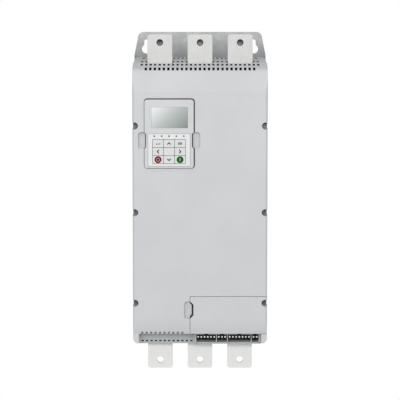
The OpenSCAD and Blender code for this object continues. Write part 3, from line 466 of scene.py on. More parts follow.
@dataclass(frozen=True)
class VentedPlastic(MouldedPlastic):
    """A moulding with vents, whose walls are painted near black as painted shade inside the vents.

    Args:
        vent_shade: Colour of the painted shade on the vent walls.
        vents_m: Region of the vents.
        upright: How far a face may look up where it is not yet a wall, and where it is one.
    """

    vent_shade: str = "#1E1F20"
    vents_m: tuple[Limit, ...] = (
        ("Z", 0.2005, 0.2015),
        ("X", -0.0978, -0.0975),
        ("X", 0.0978, 0.0975),
        ("Y", -0.015, -0.02),
    )
    upright: Pair = (0.45, 0.3)

    def layers(self, paint: Paint) -> Layers:
        """Colours the edges and paints shade on the walls of the vents.

        Args:
            paint: Patterns for the material.

        Returns:
            Where each colour lies, and the colour.
        """
        # Painted shade: the upright walls inside the vents are painted near black
        way = add_node(paint.tree, "TexCoord").outputs["Normal"]
        none, full = self.upright
        walls = paint.zone([("Z", none, full), ("Z", -none, -full)], way=way)
        return [*super().layers(paint), (paint.zone(self.vents_m, walls), self.vent_shade)]


@dataclass(frozen=True)
class PocketShadedPlastic(VentedPlastic):
    """A moulding whose pocket is painted near black as painted shade, so that the gap around its
    insert reads dark.

    Args:
        node: CAD node that sits in the pocket.
        pocket_shade: Colour of the painted shade in the pocket.
        margin_mm: How far the pocket reaches beyond that node.
        notch_mm: Heights above that node's underside between which fingers reach in.
        sunk_mm: How deep below that node's face the painted shade begins, at the notches and
            elsewhere.
    """

    node: str = "keypad_housing"
    pocket_shade: str = "#141415"
    margin_mm: float = 2.6
    notch_mm: Pair = (30.0, 56.0)
    sunk_mm: Pair = (9.8, 6.9)

    def layers(self, paint: Paint) -> Layers:
        """Colours the edges and paints shade on the vent walls and in the pocket.

        Args:
            paint: Patterns for the material.

        Returns:
            Where each colour lies, and the colour.
        """
        layers = super().layers(paint)
        low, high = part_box(self.node)
        edge = self.margin_mm * MM
        under, over = low.z - edge, high.z + edge
        notch_low, notch_high = (low.z + height * MM for height in self.notch_mm)
        deep, shallow = (low.y + sunk * MM for sunk in self.sunk_mm)
        stretches = [
            (under, over, deep),
            (under, notch_low, shallow),
            (notch_high, over, shallow),
        ]
        # Painted shade: the pocket around the keypad is painted near black
        for bottom, top, begin in stretches:
            pocket = [
                ("X", low.x - edge - FADE, low.x - edge),
                ("X", high.x + edge + FADE, high.x + edge),
                ("Z", bottom - FADE, bottom),
                ("Z", top + FADE, top),
                ("Y", begin - FADE, begin),
            ]
            layers.append((paint.zone(pocket), self.pocket_shade))
        return layers


@dataclass(frozen=True)
class ZincSheet(Finish):
    """Zinc-coated sheet steel: soft spangle, with painted shade in a band in front, darkest just
    above the roof.

    Args:
        painted_roof_shade: Colour of the painted shade.
        shade_band_m: Heights where the band starts, is full and ends.
        front_m: Depths, seen from the rear, between which the band sets in.
        spangle_mm: Size of the zinc crystals.
        rolled_mm: Size of the faint rolling texture.
        metallic: Share of the metal's own reflection under its dull oxide.
    """

    swing: float = 0.06
    bump: Pair = (0.03, 0.15)
    painted_roof_shade: str = "#7E7F81"
    shade_band_m: Triple = (0.190, 0.215, 0.262)
    front_m: Pair = (-0.0005, -0.0025)
    spangle_mm: float = 9.0
    rolled_mm: float = 1.5
    metallic: float = 0.25

    def patterns(self, paint: Paint) -> Patterns:
        """Draws crystals and a rolling texture.

        Args:
            paint: Patterns for the material.

        Returns:
            Patterns of the colour, the roughness and the relief.
        """
        size = {"Vector": paint.place, "Scale": per_mm(self.spangle_mm)}
        crystals = add_node(paint.tree, "TexVoronoi", size).outputs["Color"]
        return crystals, crystals, paint.cloud(self.rolled_mm)

    def layers(self, paint: Paint) -> Layers:
        """Paints shade in the band in front.

        Args:
            paint: Patterns for the material.

        Returns:
            Where each colour lies, and the colour.
        """
        # Painted shade: the plate grows darker towards the roof
        start, full, end = self.shade_band_m
        band = [("Z", start, full), ("Z", end, full), ("Y", *self.front_m)]
        return [(paint.zone(band), self.painted_roof_shade)]


@dataclass(frozen=True)
class PlatedMetal(Finish):
    """Plated or drawn metal: fine lines along one axis and dull handling clouds.

    Args:
        line_mm: Width of the lines and their length, drawn coarser than they are.
        cloud_mm: Size of the handling clouds.
        metallic: Share of the metal's own reflection.
    """

    swing: float = 0.08
    bump: Pair = (0.02, 0.2)
    line_mm: Pair = (0.5, 40.0)
    cloud_mm: float = 14.0
    metallic: float = 1.0

    def patterns(self, paint: Paint) -> Patterns:
        """Draws clouds for the colour and lines for the gloss and the surface.

        Args:
            paint: Patterns for the material.

        Returns:
            Patterns of the colour, the roughness and the relief.
        """
        fine, long = (per_mm(size) for size in self.line_mm)
        size = {"Vector": paint.place, "Scale": (fine, fine, long)}
        drawn = add_node(paint.tree, "Mapping", size).outputs["Vector"]
        noise = {"Vector": drawn, "Scale": 1.0, "Detail": 2.0}
        lines = add_node(paint.tree, "TexNoise", noise).outputs["Fac"]
        return paint.cloud(self.cloud_mm), lines, lines


@dataclass(frozen=True)
class SleevedBar(PlatedMetal):
    """A plated bar in a black insulating sleeve where it runs inside the housing, with painted
    light on the lower bars.

    Args:
        sleeve: Colour of the sleeve.
        inside_m: Heights between which the bar is sleeved.
        painted_lower_light: Colour of the painted light on the lower bars, which the lamps above
            reach less.
        lower_light_m: Heights where the painted light has not begun and where it is full.
        lower_light_share: Share of the painted light where it is full.
    """

    sleeve: str = "#131314"
    inside_m: Pair = (-0.19, 0.2112)
    painted_lower_light: str = "#F9F9F8"
    lower_light_m: Pair = (0.1, -0.1)
    lower_light_share: float = 0.7

    def layers(self, paint: Paint) -> Layers:
        """Paints light on the lower bars and pulls the sleeve over the inner stretch.

        Args:
            paint: Patterns for the material.

        Returns:
            Where each colour lies, and the colour.
        """
        # Painted light: the lower bars are lightened to make up for the light they lack
        painted_lower_light = paint.zone([("Z", *self.lower_light_m)], self.lower_light_share)
        low, high = self.inside_m
        sleeved = paint.zone([("Z", low - FADE, low), ("Z", high + FADE, high)])
        return [(painted_lower_light, self.painted_lower_light), (sleeved, self.sleeve)]


@dataclass(frozen=True)
class BoardLaminate(Finish):
    """Circuit board: green solder resist over copper tracks, with a glassy film on top.

    Args:
        track_mm: Spacing of the tracks.
        ior: Index of refraction of the resist.
        coat: Weight of the glassy film.
    """

    bump: Pair = (0.05, 0.4)
    track_mm: float = 4.0
    ior: float = 1.55
    coat: float = 0.4

    def patterns(self, paint: Paint) -> Patterns:
        """Draws tracks as a lighter green relief.

        Args:
            paint: Patterns for the material.

        Returns:
            Patterns of the colour, the roughness and the relief.
        """
        upright = {"Vector": paint.place, "Rotation": (math.pi / 2, 0, 0)}
        tracks = add_node(
            paint.tree,
            "TexBrick",
            {
                "Vector": add_node(paint.tree, "Mapping", upright).outputs["Vector"],
                "Scale": per_mm(self.track_mm),
                "Mortar Size": 0.06,
                "Color1": (0, 0, 0, 1),
                "Color2": (0.2, 0.2, 0.2, 1),
                "Mortar": (1, 1, 1, 1),
            },
        ).outputs["Color"]
        return tracks, tracks, tracks


@dataclass(frozen=True)
class DisplayGlass(Finish):
    """Unlit liquid crystal display behind a bonded pane, with a painted reflection: milky at one
    corner, grey at the other.

    Args:
        node: CAD node of the pane.
        far: Colour of the grey corner of the painted reflection, where the drift is the colour
            halfway.
        slant: Share of the painted reflection across the pane and down it.
        half: Share of the painted reflection where the colour is halfway.
        cell_mm: Size of the crystal cells.
        ior: Index of refraction of the pane.
        coat: Weight of the pane's gloss.
        coat_roughness: Roughness of that gloss.
    """

    swing: float = 0.03
    bump: Pair = (0.004, 0.05)
    node: str = "display_window"
    far: str = "#848B89"
    slant: Pair = (0.62, 0.38)
    half: float = 0.5
    cell_mm: float = 0.5
    ior: float = 1.52
    coat: float = 0.25
    coat_roughness: float = 0.15

    def stretch(self, paint: Paint, first: float) -> Socket:
        """Draws one half of the painted reflection that slants over the crystal layer.

        Args:
            paint: Patterns for the material.
            first: Share of the gradient where this half begins.

        Returns:
            A value from 0 to 1.
        """
        low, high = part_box(self.node)
        across, down = self.slant[0] / (high.x - low.x), -self.slant[1] / (high.z - low.z)
        start = across * low.x + down * high.z + first
        slope = {0: paint.place, 1: (across, 0, down)}
        way = add_node(paint.tree, "VectorMath", slope, operation="DOT_PRODUCT").outputs["Value"]
        ends = {"Value": way, "From Min": start, "From Max": start + self.half}
        return add_node(paint.tree, "MapRange", ends).outputs["Result"]

    def patterns(self, paint: Paint) -> Patterns:
        """Draws the milky half of the painted reflection and the crystal cells."""
        cells = paint.cloud(self.cell_mm)
        return self.stretch(paint, 0.0), cells, cells

    def layers(self, paint: Paint) -> Layers:
        """Lays the grey half of the painted reflection over the milky one."""
        return [(self.stretch(paint, self.half), self.far)]


@dataclass(frozen=True)
class GlossPlastic(Finish):
    """Hard plastic with a polished skin: a clean highlight and a very faint orange peel.

    Args:
        coat: Weight of the polished skin.
        peel_mm: Size of the orange peel.
        cloud_mm: Size of the patches that the colour drifts in.
        ior: Index of refraction of the plastic.
        shine: Specular level.
    """

    swing: float = 0.04
    coat: float = 0.4
    peel_mm: float = 1.6
    cloud_mm: float = 6.0
    ior: float = 1.5
    shine: float = 0.5

    def patterns(self, paint: Paint) -> Patterns:
        """Draws the drift of the colour and the orange peel."""
        peel = paint.cloud(self.peel_mm)
        return paint.cloud(self.cloud_mm), peel, peel


@dataclass(frozen=True)
class PrintedFilm(Finish):
    """Satin polyester film and screen ink: a fine print dot in an even coat.

    Args:
        dot_mm: Spacing of the print dots, drawn three times as coarse as they are.
        wash_mm: Size of the faint wash in the colour.
        ior: Index of refraction of the film.
    """

    swing: float = 0.06
    dot_mm: float = 0.6
    wash_mm: float = 25.0
    ior: float = 1.57

    def patterns(self, paint: Paint) -> Patterns:
        """Draws a faint wash for the colour and dots for the gloss and the surface.

        Args:
            paint: Patterns for the material.

        Returns:
            Patterns of the colour, the roughness and the relief.
        """
        size = {"Vector": paint.place, "Scale": per_mm(self.dot_mm)}
        dots = add_node(paint.tree, "TexVoronoi", size).outputs["Distance"]
        return paint.cloud(self.wash_mm), dots, dots


# The finish of each material slot of the record
SLOT_FINISHES: dict[str, Finish] = {
    # Light grey flame-retardant ABS: matt, faintly cool, with painted shade on its darker edges,
    # on its vent walls and in its keypad pocket
    "cover_plastic": PocketShadedPlastic(
        "moulded_abs_light_grey", "#CECFD1", "#CBCCCF", 0.52, edge_wear_and_shade="#A8A9AB"
    ),
    # The same plastic from the rear mould: a shade darker, with painted shade on its vent walls
    "housing_plastic": VentedPlastic(
        "moulded_abs_mid_grey", "#C4C6C8", "#C0C2C5", 0.56, edge_wear_and_shade="#D0D1D3"
    ),
    # Zinc-coated sheet: grey with soft crystals, and painted shade towards the roof
    "plate_steel": ZincSheet("zinc_coated_sheet", "#BABBBB", "#AFB0B1", 0.5),
    # Tin on copper: pale, silky, a little uneven, with painted light on the lower bars
    "tinned_copper": SleevedBar("tinned_copper_bar", "#ECECEB", "#E9E9E8", 0.85, edge_mm=0.6),
    # Black zinc screws: dark with a dull shine
    "dark_screw_steel": PlatedMetal(
        "black_zinc_screw", "#8E8F91", "#808183", 0.5, line_mm=(0.3, 2.0)
    ),
    # Bright zinc on standoffs, bolts and small screws: a clean warm shine
    "plated_steel": PlatedMetal(
        "bright_zinc_steel", "#C9C8C2", "#B9B9B6", 0.34, line_mm=(0.3, 3.0)
    ),
    # Extruded aluminium: die lines along the fins
    "heatsink_aluminium": PlatedMetal("extruded_aluminium", "#C3C5C7", "#B2B5B8", 0.4),
    # Glass-filled plastic of the power modules: dense black, dull, with grey edges
    "module_plastic": MouldedPlastic(
        "moulded_black_module", "#2B2C2E", "#242527", 0.5, edge_wear_and_shade="#4A4B4D"
    ),
    # Cast epoxy: deep blue-grey and slightly glossy
    "transformer_resin": GlossPlastic("cast_epoxy_resin", "#2C3547", "#252C3B", 0.35),
    # Fan plastic: black with a soft shine
    "fan_plastic": MouldedPlastic(
        "moulded_black_fan", "#1D1D1E", "#232324", 0.45, edge_wear_and_shade="#3A3A3C"
    ),
    # Solder resist: glassy green, paler over the tracks
    "board_laminate": BoardLaminate("solder_resist_board", "#0F4A2B", "#2E7A4C", 0.35),
    # Polyamide of the plugs: deep black and nearly matt
    "terminal_plastic": MouldedPlastic(
        "moulded_black_polyamide",
        "#060607",
        "#0A0A0B",
        0.7,
        edge_wear_and_shade="#18191A",
        grain_mm=0.7,
        shine=0.2,
    ),
    # Keypad shell: the cover's grey, a touch lighter
    "keypad_plastic": MouldedPlastic(
        "moulded_abs_keypad", "#D0D1D3", "#CDCED0", 0.48, edge_wear_and_shade="#DCDDDE", grain_mm=0.7
    ),
    # Back shell of the keypad: dark grey and matt
    "keypad_back_plastic": MouldedPlastic(
        "moulded_abs_dark_grey", "#4A4B4D", "#434446", 0.5, edge_wear_and_shade="#5E5F61"
    ),
    # Crystal cell behind the pane: an even grey-green, glassy
    "lcd_glass": GlossPlastic("crystal_cell_glass", "#AEB7B2", "#A4ADA8", 0.2),
    # Bonded display pane: glossy, with a painted reflection, milky at one corner
    "window_plastic": DisplayGlass("display_pane_painted_reflection", "#F2F3F4", "#B9C0BD", 0.16),
    # Printed film around the keys: satin white
    "overlay_film": PrintedFilm("printed_polyester_film", "#E4E5E5", "#E0E1E2", 0.45),
    # Smoked light pipes, unlit: grey and glassy
    "light_pipe": GlossPlastic("smoked_acrylic_pipe", "#6E7072", "#626466", 0.2),
    # Keys: satin white
    "key_plastic": MouldedPlastic(
        "moulded_white_key", "#DCDCDC", "#D8D8D9", 0.5, edge_wear_and_shade="#E6E6E6", grain_mm=0.5
    ),
    # Stop and start faces: deep signal colours with a dull skin
    "red_plastic": GlossPlastic(
        "moulded_red_button", "#69040C", "#5E030A", 0.6, coat=0.0, shine=0.15
    ),
    "green_plastic": GlossPlastic(
        "moulded_green_button", "#0A6415", "#085911", 0.6, coat=0.0, shine=0.15
    ),
}
# The same plastic as the rear mould's, painted greyer in the tray as painted shade under the
# cover's lip
NODE_FINISHES: dict[str, Finish] = {
    "terminal_tray": MouldedPlastic(
        "moulded_abs_tray_painted_shade", "#B3B7B8", "#AFB3B4", 0.56, edge_wear_and_shade="#C2C5C6"
    ),
}
# Screen ink of the key marks: nearly black and dull
DARK_INK = PrintedFilm("dark_screen_ink", "#08090A", "#0D0E0F", 0.75)
# Screen ink of the fine rule: mid grey
GREY_INK = PrintedFilm("grey_screen_ink", "#8E9092", "#96989A", 0.5)
# Inlays of the button faces: a pale tint of each face
PALE_RED = GlossPlastic("pale_red_inlay", "#E59CA1", "#DC9095", 0.6, coat=0.0)
PALE_GREEN = GlossPlastic("pale_green_inlay", "#BFF0C4", "#B2E6B8", 0.6, coat=0.0)
# Nickel wire clamps: bright against the black plugs
CLAMP_NICKEL = PlatedMetal(
    "nickel_wire_clamp", "#F2F2F0", "#E6E6E4", 0.4, line_mm=(0.2, 1.0), metallic=0.35
)
# Floor: pale and matt
PALE_FLOOR = PrintedFilm("pale_matt_floor", "#F8F8F7", "#F5F5F4", 0.8, dot_mm=40.0)


@dataclass
class Wardrobe:
    """Makes each finish once and hands it out.

    Args:
        made: Materials made so far, by the name of the finish.
    """

    made: dict[str, Material] = field(default_factory=dict)

    def get(self, finish: Finish) -> Material:
        """Finds or makes the material of a finish.

        Args:
            finish: Finish that is wanted.

        Returns:
            Its material.
        """
        if finish.name not in self.made:
            self.made[finish.name] = finish.make()
        return self.made[finish.name]

    def slot(self, slot: str) -> Material:
        """The material of a record slot."""
        return self.get(SLOT_FINISHES[slot])

    def dress_nodes(self) -> None:
        """Gives every CAD node its own finish, or the finish of its slot."""
        for row in FRAME["record"]["subparts"]:
            node = FRAME["nodes"][row["node"]]
            finish = NODE_FINISHES.get(row["node"], SLOT_FINISHES[row["material_slot"]])
            node.data.materials.clear()
            node.data.materials.append(self.get(finish))
            LOG.info("%s wears %s", row["node"], finish.name)


# Sub-assemblies

# Keys of the keypad
KEYS = ("back", "up", "menu", "left", "right", "stop", "down", "start")
# Width of the rounding of each node that is shown softened
ROUNDED_MM = {
    **{f"{end}_bar_{number}": 0.6 for end in ("input", "output") for number in (1, 2, 3)},
    "back_plate": 0.4,
    "keypad_housing": 0.5,
    "cover_screws": 0.3,
    **{f"key_{key}": 0.3 for key in KEYS},
}


@dataclass
class SoftenedNodes:
    """CAD nodes shown as copies with real rounded edges.

    Args:
        wardrobe: Source of the finishes.
        widths_mm: Width of the rounding for each node.
        sharp_degrees: Edges bent by more than this are rounded.
        flat_degrees: Triangles bent by less than this become one face.
        join: Gap in metres below which corners become one.
    """

    wardrobe: Wardrobe
    widths_mm: dict[str, float]
    sharp_degrees: float = 40
    flat_degrees: float = 0.5
    join: float = 2e-6

    def build(self) -> None:
        """Makes one softened copy of each node."""
        slots = {row["node"]: row["material_slot"] for row in FRAME["record"]["subparts"]}
        for node, width in self.widths_mm.items():
            source, slot = FRAME["nodes"][node], slots[node]
            bm = self.copy(source.data, width)
            finish = self.wardrobe.slot(slot)
            piece = add_piece(f"{node}_softened", bm, finish, source["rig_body"], [node])
            even = piece.modifiers.new("even shading", "WEIGHTED_NORMAL")
            even.keep_sharp = True

    def copy(self, mesh: bpy.types.Mesh, width: float) -> BMesh:
        """Copies a mesh, joins its flat triangles and rounds its edges.

        Args:
            mesh: Mesh of the CAD node.
            width: Width of the rounding in millimetres.

        Returns:
            The rounded copy.
        """
        bm = bmesh.new()
        bm.from_mesh(mesh)
        bmesh.ops.remove_doubles(bm, verts=bm.verts, dist=self.join)
        flat, limit = math.radians(self.flat_degrees), math.radians(self.sharp_degrees)
        bmesh.ops.dissolve_limit(bm, angle_limit=flat, verts=bm.verts, edges=bm.edges)
        sharp = [edge for edge in bm.edges if edge.is_manifold and edge.calc_face_angle() > limit]
        bmesh.ops.bevel(
            bm,
            geom=sharp,
            offset=width * MM,
            offset_type="OFFSET",
            affect="EDGES",
            segments=2,
            profile=0.5,
            clamp_overlap=True,
            material=-1,
        )
        return bm


@dataclass
class KeypadDress:
    """Marks, button faces and the fine rule of the keypad.

    Args:
        wardrobe: Source of the finishes.
        chevron_mm: Width and rise of a chevron, then width and rise of its stroke.
        mark_mm: Width and rise of the other marks.
        bar_mm: Stroke of the other marks.
        ink_mm: How far the ink stands on a key.
        face_radius_mm: Radius of a button face.
        face_mm: Thickness of a button face below its inlay.
        face_steps: Segments around a button face.
        rim: How far the face's rim draws in, in millimetres, at shares of its thickness.
        inlay_mm: How far the inlay stands on it.
        ring_mm: Inner and outer radius of the ring.
        ring_steps: Segments around the ring.
        stroke_mm: Width and rise of the upright stroke.
        rule_mm: Inset, width and height of the fine rule around the film.
    """

    wardrobe: Wardrobe
    chevron_mm: tuple[float, float, float, float] = (6.8, 3.8, 2.2, 1.76)
    mark_mm: Pair = (6.6, 3.2)
    bar_mm: float = 0.75
    ink_mm: float = 0.1
    face_radius_mm: float = 5.35
    face_mm: float = 0.4
    face_steps: int = 64
    rim: Outline = ((0, 0.4), (0.1, 0.8), (0.35, 1))
    inlay_mm: float = 0.1
    ring_mm: Pair = (1.95, 2.95)
    ring_steps: int = 48
    stroke_mm: Pair = (1.1, 4.6)
    rule_mm: Triple = (0.15, 0.55, 0.04)

    def build(self) -> None:
        """Makes every piece of the keypad's dress."""
        for mark in Mark:
            self.key_mark(mark)
        self.button_face("stop", "red_plastic", PALE_RED)
        self.button_face("start", "green_plastic", PALE_GREEN)
        self.film_rule()

    def outlines(self, mark: Mark) -> list[Outline]:
        """Corners of a mark.

        Args:
            mark: Symbol to draw.

        Returns:
            One closed outline for each part of the symbol, in millimetres.
        """
        half, rise = self.mark_mm[0] / 2, self.mark_mm[1] / 2
        bar = self.bar_mm
        if mark is Mark.LIST:
            return [oblong(half, bar / 2, z) for z in (-rise + bar / 2, 0, rise - bar / 2)]
        if mark is Mark.RETURN:
            shaft = -rise + bar
            head = 2 * bar
            return [
                [(-half, shaft), (-half + head, shaft - head), (-half + head, shaft + head)],
                [
                    (-half + head, shaft - bar / 2),
                    (half, shaft - bar / 2),
                    (half, rise),
                    (half - bar, rise),
                    (half - bar, shaft + bar / 2),
                    (-half + head, shaft + bar / 2),
                ],
            ]
        wide, tall, stroke, lift = self.chevron_mm
        low, high = -tall / 2, tall / 2
        shape = [
            (-wide / 2, low + lift / 2),
            (-wide / 2 + stroke / 2, low),
            (0, high - lift),
            (wide / 2 - stroke / 2, low),
            (wide / 2, low + lift / 2),
            (0, high + lift / 4),
        ]
        for _ in range((Mark.UP, Mark.LEFT, Mark.DOWN, Mark.RIGHT).index(mark)):
            shape = [(-z, x) for x, z in shape]
        return [shape]

    def front_of(self, node: str) -> Vector:
        """Middle of the face of a node that looks forward."""
        low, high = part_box(node)
        return Vector(((low.x + high.x) / 2, low.y, (low.z + high.z) / 2))

    def key_mark(self, mark: Mark) -> None:
        """Prints a mark on its key.

        Args:
            mark: Symbol to print.
        """
        key = mark.value
        bm = bmesh.new()
        for outline in self.outlines(mark):
            stamp(bm, outline, self.front_of(f"key_{key}"), self.ink_mm * MM)
        ink = self.wardrobe.get(DARK_INK)
        add_piece(f"{key}_mark", bm, ink, f"{key}_button")

    def button_face(self, key: str, slot: str, inlay: Finish) -> None:
        """Makes a round face with its inlay: a ring to stop and a stroke to start.

        Args:
            key: Name of the key.
            slot: Record slot of the face.
            inlay: Finish of the inlay.
        """
        node, body = f"{key}_face", f"{key}_button"
        _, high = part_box(node)
        seat = self.front_of(node)
        seat.y = high.y
        radius, top = self.face_radius_mm, self.face_mm
        bm = bmesh.new()
        rim = [(radius - inward, top * share) for inward, share in self.rim]
        profile = [(0, 0), (radius, 0), *rim, (0, top)]
        turned(bm, profile, facing(seat, FORWARD), self.face_steps)
        add_piece(f"{key}_button_face", bm, self.wardrobe.slot(slot), body, [node])
        bm = bmesh.new()
        face = seat + FORWARD * top * MM
        if key == "stop":
            ring = hollow(*self.ring_mm, self.inlay_mm)
            turned(bm, ring, facing(face, FORWARD), self.ring_steps)
        else:
            wide, tall = self.stroke_mm
            stamp(bm, oblong(wide / 2, tall / 2), face, self.inlay_mm * MM)
        add_piece(f"{key}_button_inlay", bm, self.wardrobe.get(inlay), body)

    def film_rule(self) -> None:
        """Prints the fine grey rule around the film."""
        low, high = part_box("keypad_overlay")
        inset, width, rise = (length * MM for length in self.rule_mm)
        bm = bmesh.new()
        bmesh.ops.create_grid(bm, x_segments=1, y_segments=1, size=0.5)
        size = high - low
        bmesh.ops.scale(bm, vec=(size.x - 2 * inset, size.z - 2 * inset, 1), verts=bm.verts)
        middle = self.front_of("keypad_overlay")
        bmesh.ops.transform(bm, matrix=facing(middle, FORWARD), verts=bm.verts)
        inner = list(bm.faces)
        bmesh.ops.inset_region(
            bm, faces=inner, thickness=width, use_boundary=True, use_even_offset=True
        )
        bmesh.ops.delete(bm, geom=inner, context="FACES")
        raise_faces(bm, bm.faces, FORWARD * rise)
        ink = self.wardrobe.get(GREY_INK)
        add_piece("film_rule", bm, ink, Body.KEYPAD.value)


@dataclass
class PlugClamps:
    """Wire clamps that show at the bottom of each wire entry of the four plugs.

    Args:
        wardrobe: Source of the finishes.
        pole_mm: Spacing of the poles.
        entry_mm: Height of the entries above the underside of a plug.
        foot_mm: How far behind the face of the plug a clamp starts.
        clamp_mm: Radius and height along a clamp, with a dished front.
        steps: Segments around a clamp.
        plugs: Number of plugs.
    """

    wardrobe: Wardrobe
    pole_mm: float = 5.08
    entry_mm: float = 4.7
    foot_mm: float = 1.95
    clamp_mm: Outline = ((0, 0), (1.42, 0), (1.42, 1.35), (1.22, 1.6), (0.71, 1.5), (0, 1.4))
    steps: int = 20
    plugs: int = 4

    def build(self) -> None:
        """Makes the clamps of each plug as one piece."""
        pitch, foot, entry = (size * MM for size in (self.pole_mm, self.foot_mm, self.entry_mm))
        nickel = self.wardrobe.get(CLAMP_NICKEL)
        for number in range(1, self.plugs + 1):
            low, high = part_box(f"terminal_plug_{number}")
            bm = bmesh.new()
            for pole in range(round((high.x - low.x) / pitch)):
                seat = low + Vector(((pole + 0.5) * pitch, foot, entry))
                turned(bm, self.clamp_mm, facing(seat, FORWARD), self.steps)
            add_piece(f"wire_clamps_{number}", bm, nickel, f"plug_{number}")


@dataclass
class SmallFasteners:
    """Painted shade as a dark washer in each of the cover's screw channels and a dark cap nut
    behind each upper bar; fan screws and the plate's rear screws.

    Args:
        wardrobe: Source of the finishes.
        head_mm: Radius and rise of a cover screw's head.
        middle_screw_mm: Height of the middle cover screws.
        shade_washer_mm: Inner radius, outer radius and thickness of a washer.
        shade_washer_steps: Segments around a washer.
        flush_mm: How far inside the body's side a washer is cut off.
        hexagon_mm: Corner radius and height along a cap nut's hexagon.
        hexagon_sides: Sides of that hexagon.
        bore_mm: Radius and height along a cap nut's thread, from its end to its mouth.
        dome_mm: Radius of a cap nut's dome and the heights of its foot and top.
        dome_degrees: Angle between two rings of the dome.
        dome_steps: Segments around the dome.
        fan_hole_mm: Distance of a fan's screws from its middle, along each side.
        pan_mm: Radius and height along a pan head with a socket.
        sunk_mm: Radius and height along a countersunk head with a socket.
        head_steps: Segments around a screw head.
        rear_mm: Places of the plate's rear screws, right and up.
    """

    wardrobe: Wardrobe
    head_mm: Pair = (3.2, 3.5)
    middle_screw_mm: float = -20.0
    shade_washer_mm: Triple = (3.3, 5.35, 0.8)
    shade_washer_steps: int = 40
    flush_mm: float = 0.3
    hexagon_mm: Outline = (
        (6.5, 0), (9.2, 0), (9.8, 0.6), (9.8, 6.9), (9.2, 7.5), (6.5, 7.5), (6.5, 0)
    )
    hexagon_sides: int = 6
    bore_mm: Outline = ((0, 13), (4.3, 12), (4.3, 0.6), (4.9, 0))
    dome_mm: Triple = (7.6, 7.5, 17.0)
    dome_degrees: int = 15
    dome_steps: int = 36
    fan_hole_mm: float = 42.0
    pan_mm: Outline = (
        (0, 0.8), (1.2, 0.8), (1.2, 2.15), (1.5, 2.2), (2.16, 2.1), (3.312, 1.21), (3.6, 0), (0, 0)
    )
    sunk_mm: Outline = ((0, -1.6), (1.2, -1.6), (1.2, 0.03), (3.6, 0.03), (3.6, 0.01), (0, -2))
    head_steps: int = 28
    rear_mm: Outline = tuple((x, z) for x in (-70.0, 0.0, 70.0) for z in (-150.0, 0.0, 150.0))

    def build(self) -> None:
        """Makes all small fasteners."""
        self.shade_washers()
        self.shadow_cap_nuts()
        self.fan_screws()
        self.rear_screws()

    def add(self, name: str, bm: BMesh, slot: str = "dark_screw_steel") -> None:
        """Puts a set of fasteners on the body, in the finish of a slot."""
        add_piece(name, bm, self.wardrobe.slot(slot), Body.BODY.value)

    def shade_washers(self) -> None:
        """Lays a dark washer round each cover screw, cut off flush with the body's side, as
        painted shade in the deep screw channel.
        """
        cover_low, cover_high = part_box("front_cover")
        bm = bmesh.new()
        for place in self.screw_seats():
            turned(bm, hollow(*self.shade_washer_mm), facing(place, FORWARD), self.shade_washer_steps)
        for side, edge in ((-1, cover_low.x), (1, cover_high.x)):
            cut = bmesh.ops.bisect_plane(
                bm,
                geom=[*bm.verts, *bm.edges, *bm.faces],
                plane_co=(edge - side * self.flush_mm * MM, 0, 0),
                plane_no=(side, 0, 0),
                clear_outer=True,
            )
            rim = [item for item in cut["geom_cut"] if isinstance(item, bmesh.types.BMEdge)]
            bmesh.ops.holes_fill(bm, edges=rim, sides=0)
        bmesh.ops.recalc_face_normals(bm, faces=bm.faces)
        self.add("cover_shade_washers", bm)

    def screw_seats(self) -> list[Vector]:
        """Finds the seat of each cover screw.

        Returns:
            The middle of each seat.
        """
        low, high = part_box("cover_screws")
        radius, rise = (size * MM for size in self.head_mm)
        return [
            Vector((x, low.y + rise, z))
            for x in (low.x + radius, high.x - radius)
            for z in (low.z + radius, self.middle_screw_mm * MM, high.z - radius)
        ]

    def shadow_cap_nuts(self) -> None:
        """Sets a dark cap nut behind the hole of each upper bar, as painted shade for the bar's
        shadow on the plate behind.
        """
        radius, foot, top = self.dome_mm
        turns = [math.radians(degrees) for degrees in range(0, 90, self.dome_degrees)]
        dome = [(radius * math.cos(turn), foot + (top - foot) * math.sin(turn)) for turn in turns]
        bm = bmesh.new()
        # Painted shade: each dark nut fills the view through an upper bar's hole
        for mount in FRAME["record"]["mounts"]:
            if mount["name"].startswith("input_lug"):
                half = mount["dims"]["length_mm"] / 2 * MM
                place = facing(Vector(mount["pos_m"]) + REARWARD * half, REARWARD)
                nut = [*self.bore_mm, (radius, 0), *dome, (0, top)]
                turned(bm, nut, place, self.dome_steps)
                turned(bm, self.hexagon_mm, place, self.hexagon_sides)
        self.add("shadow_cap_nuts", bm)

    def fan_screws(self) -> None:
        """Screws each fan to the bottom panel from below."""
        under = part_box("bottom_panel")[0].z
        reach = self.fan_hole_mm * MM
        bm = bmesh.new()
        for side in ("left", "right"):
            low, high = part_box(f"fan_frame_{side}")
            middle = (low + high) / 2
            for x in (middle.x - reach, middle.x + reach):
                for y in (middle.y - reach, middle.y + reach):
                    place = facing(Vector((x, y, under)), DOWNWARD)
                    turned(bm, self.pan_mm, place, self.head_steps)
        self.add("fan_screws", bm, "plated_steel")

    def rear_screws(self) -> None:
        """Sinks the screws of the heatsink into the rear of the plate."""
        bm = bmesh.new()
        for x, z in self.rear_mm:
            place = facing(Vector((x * MM, 0, z * MM)), REARWARD)
            turned(bm, self.sunk_mm, place, self.head_steps)
        self.add("plate_rear_screws", bm)


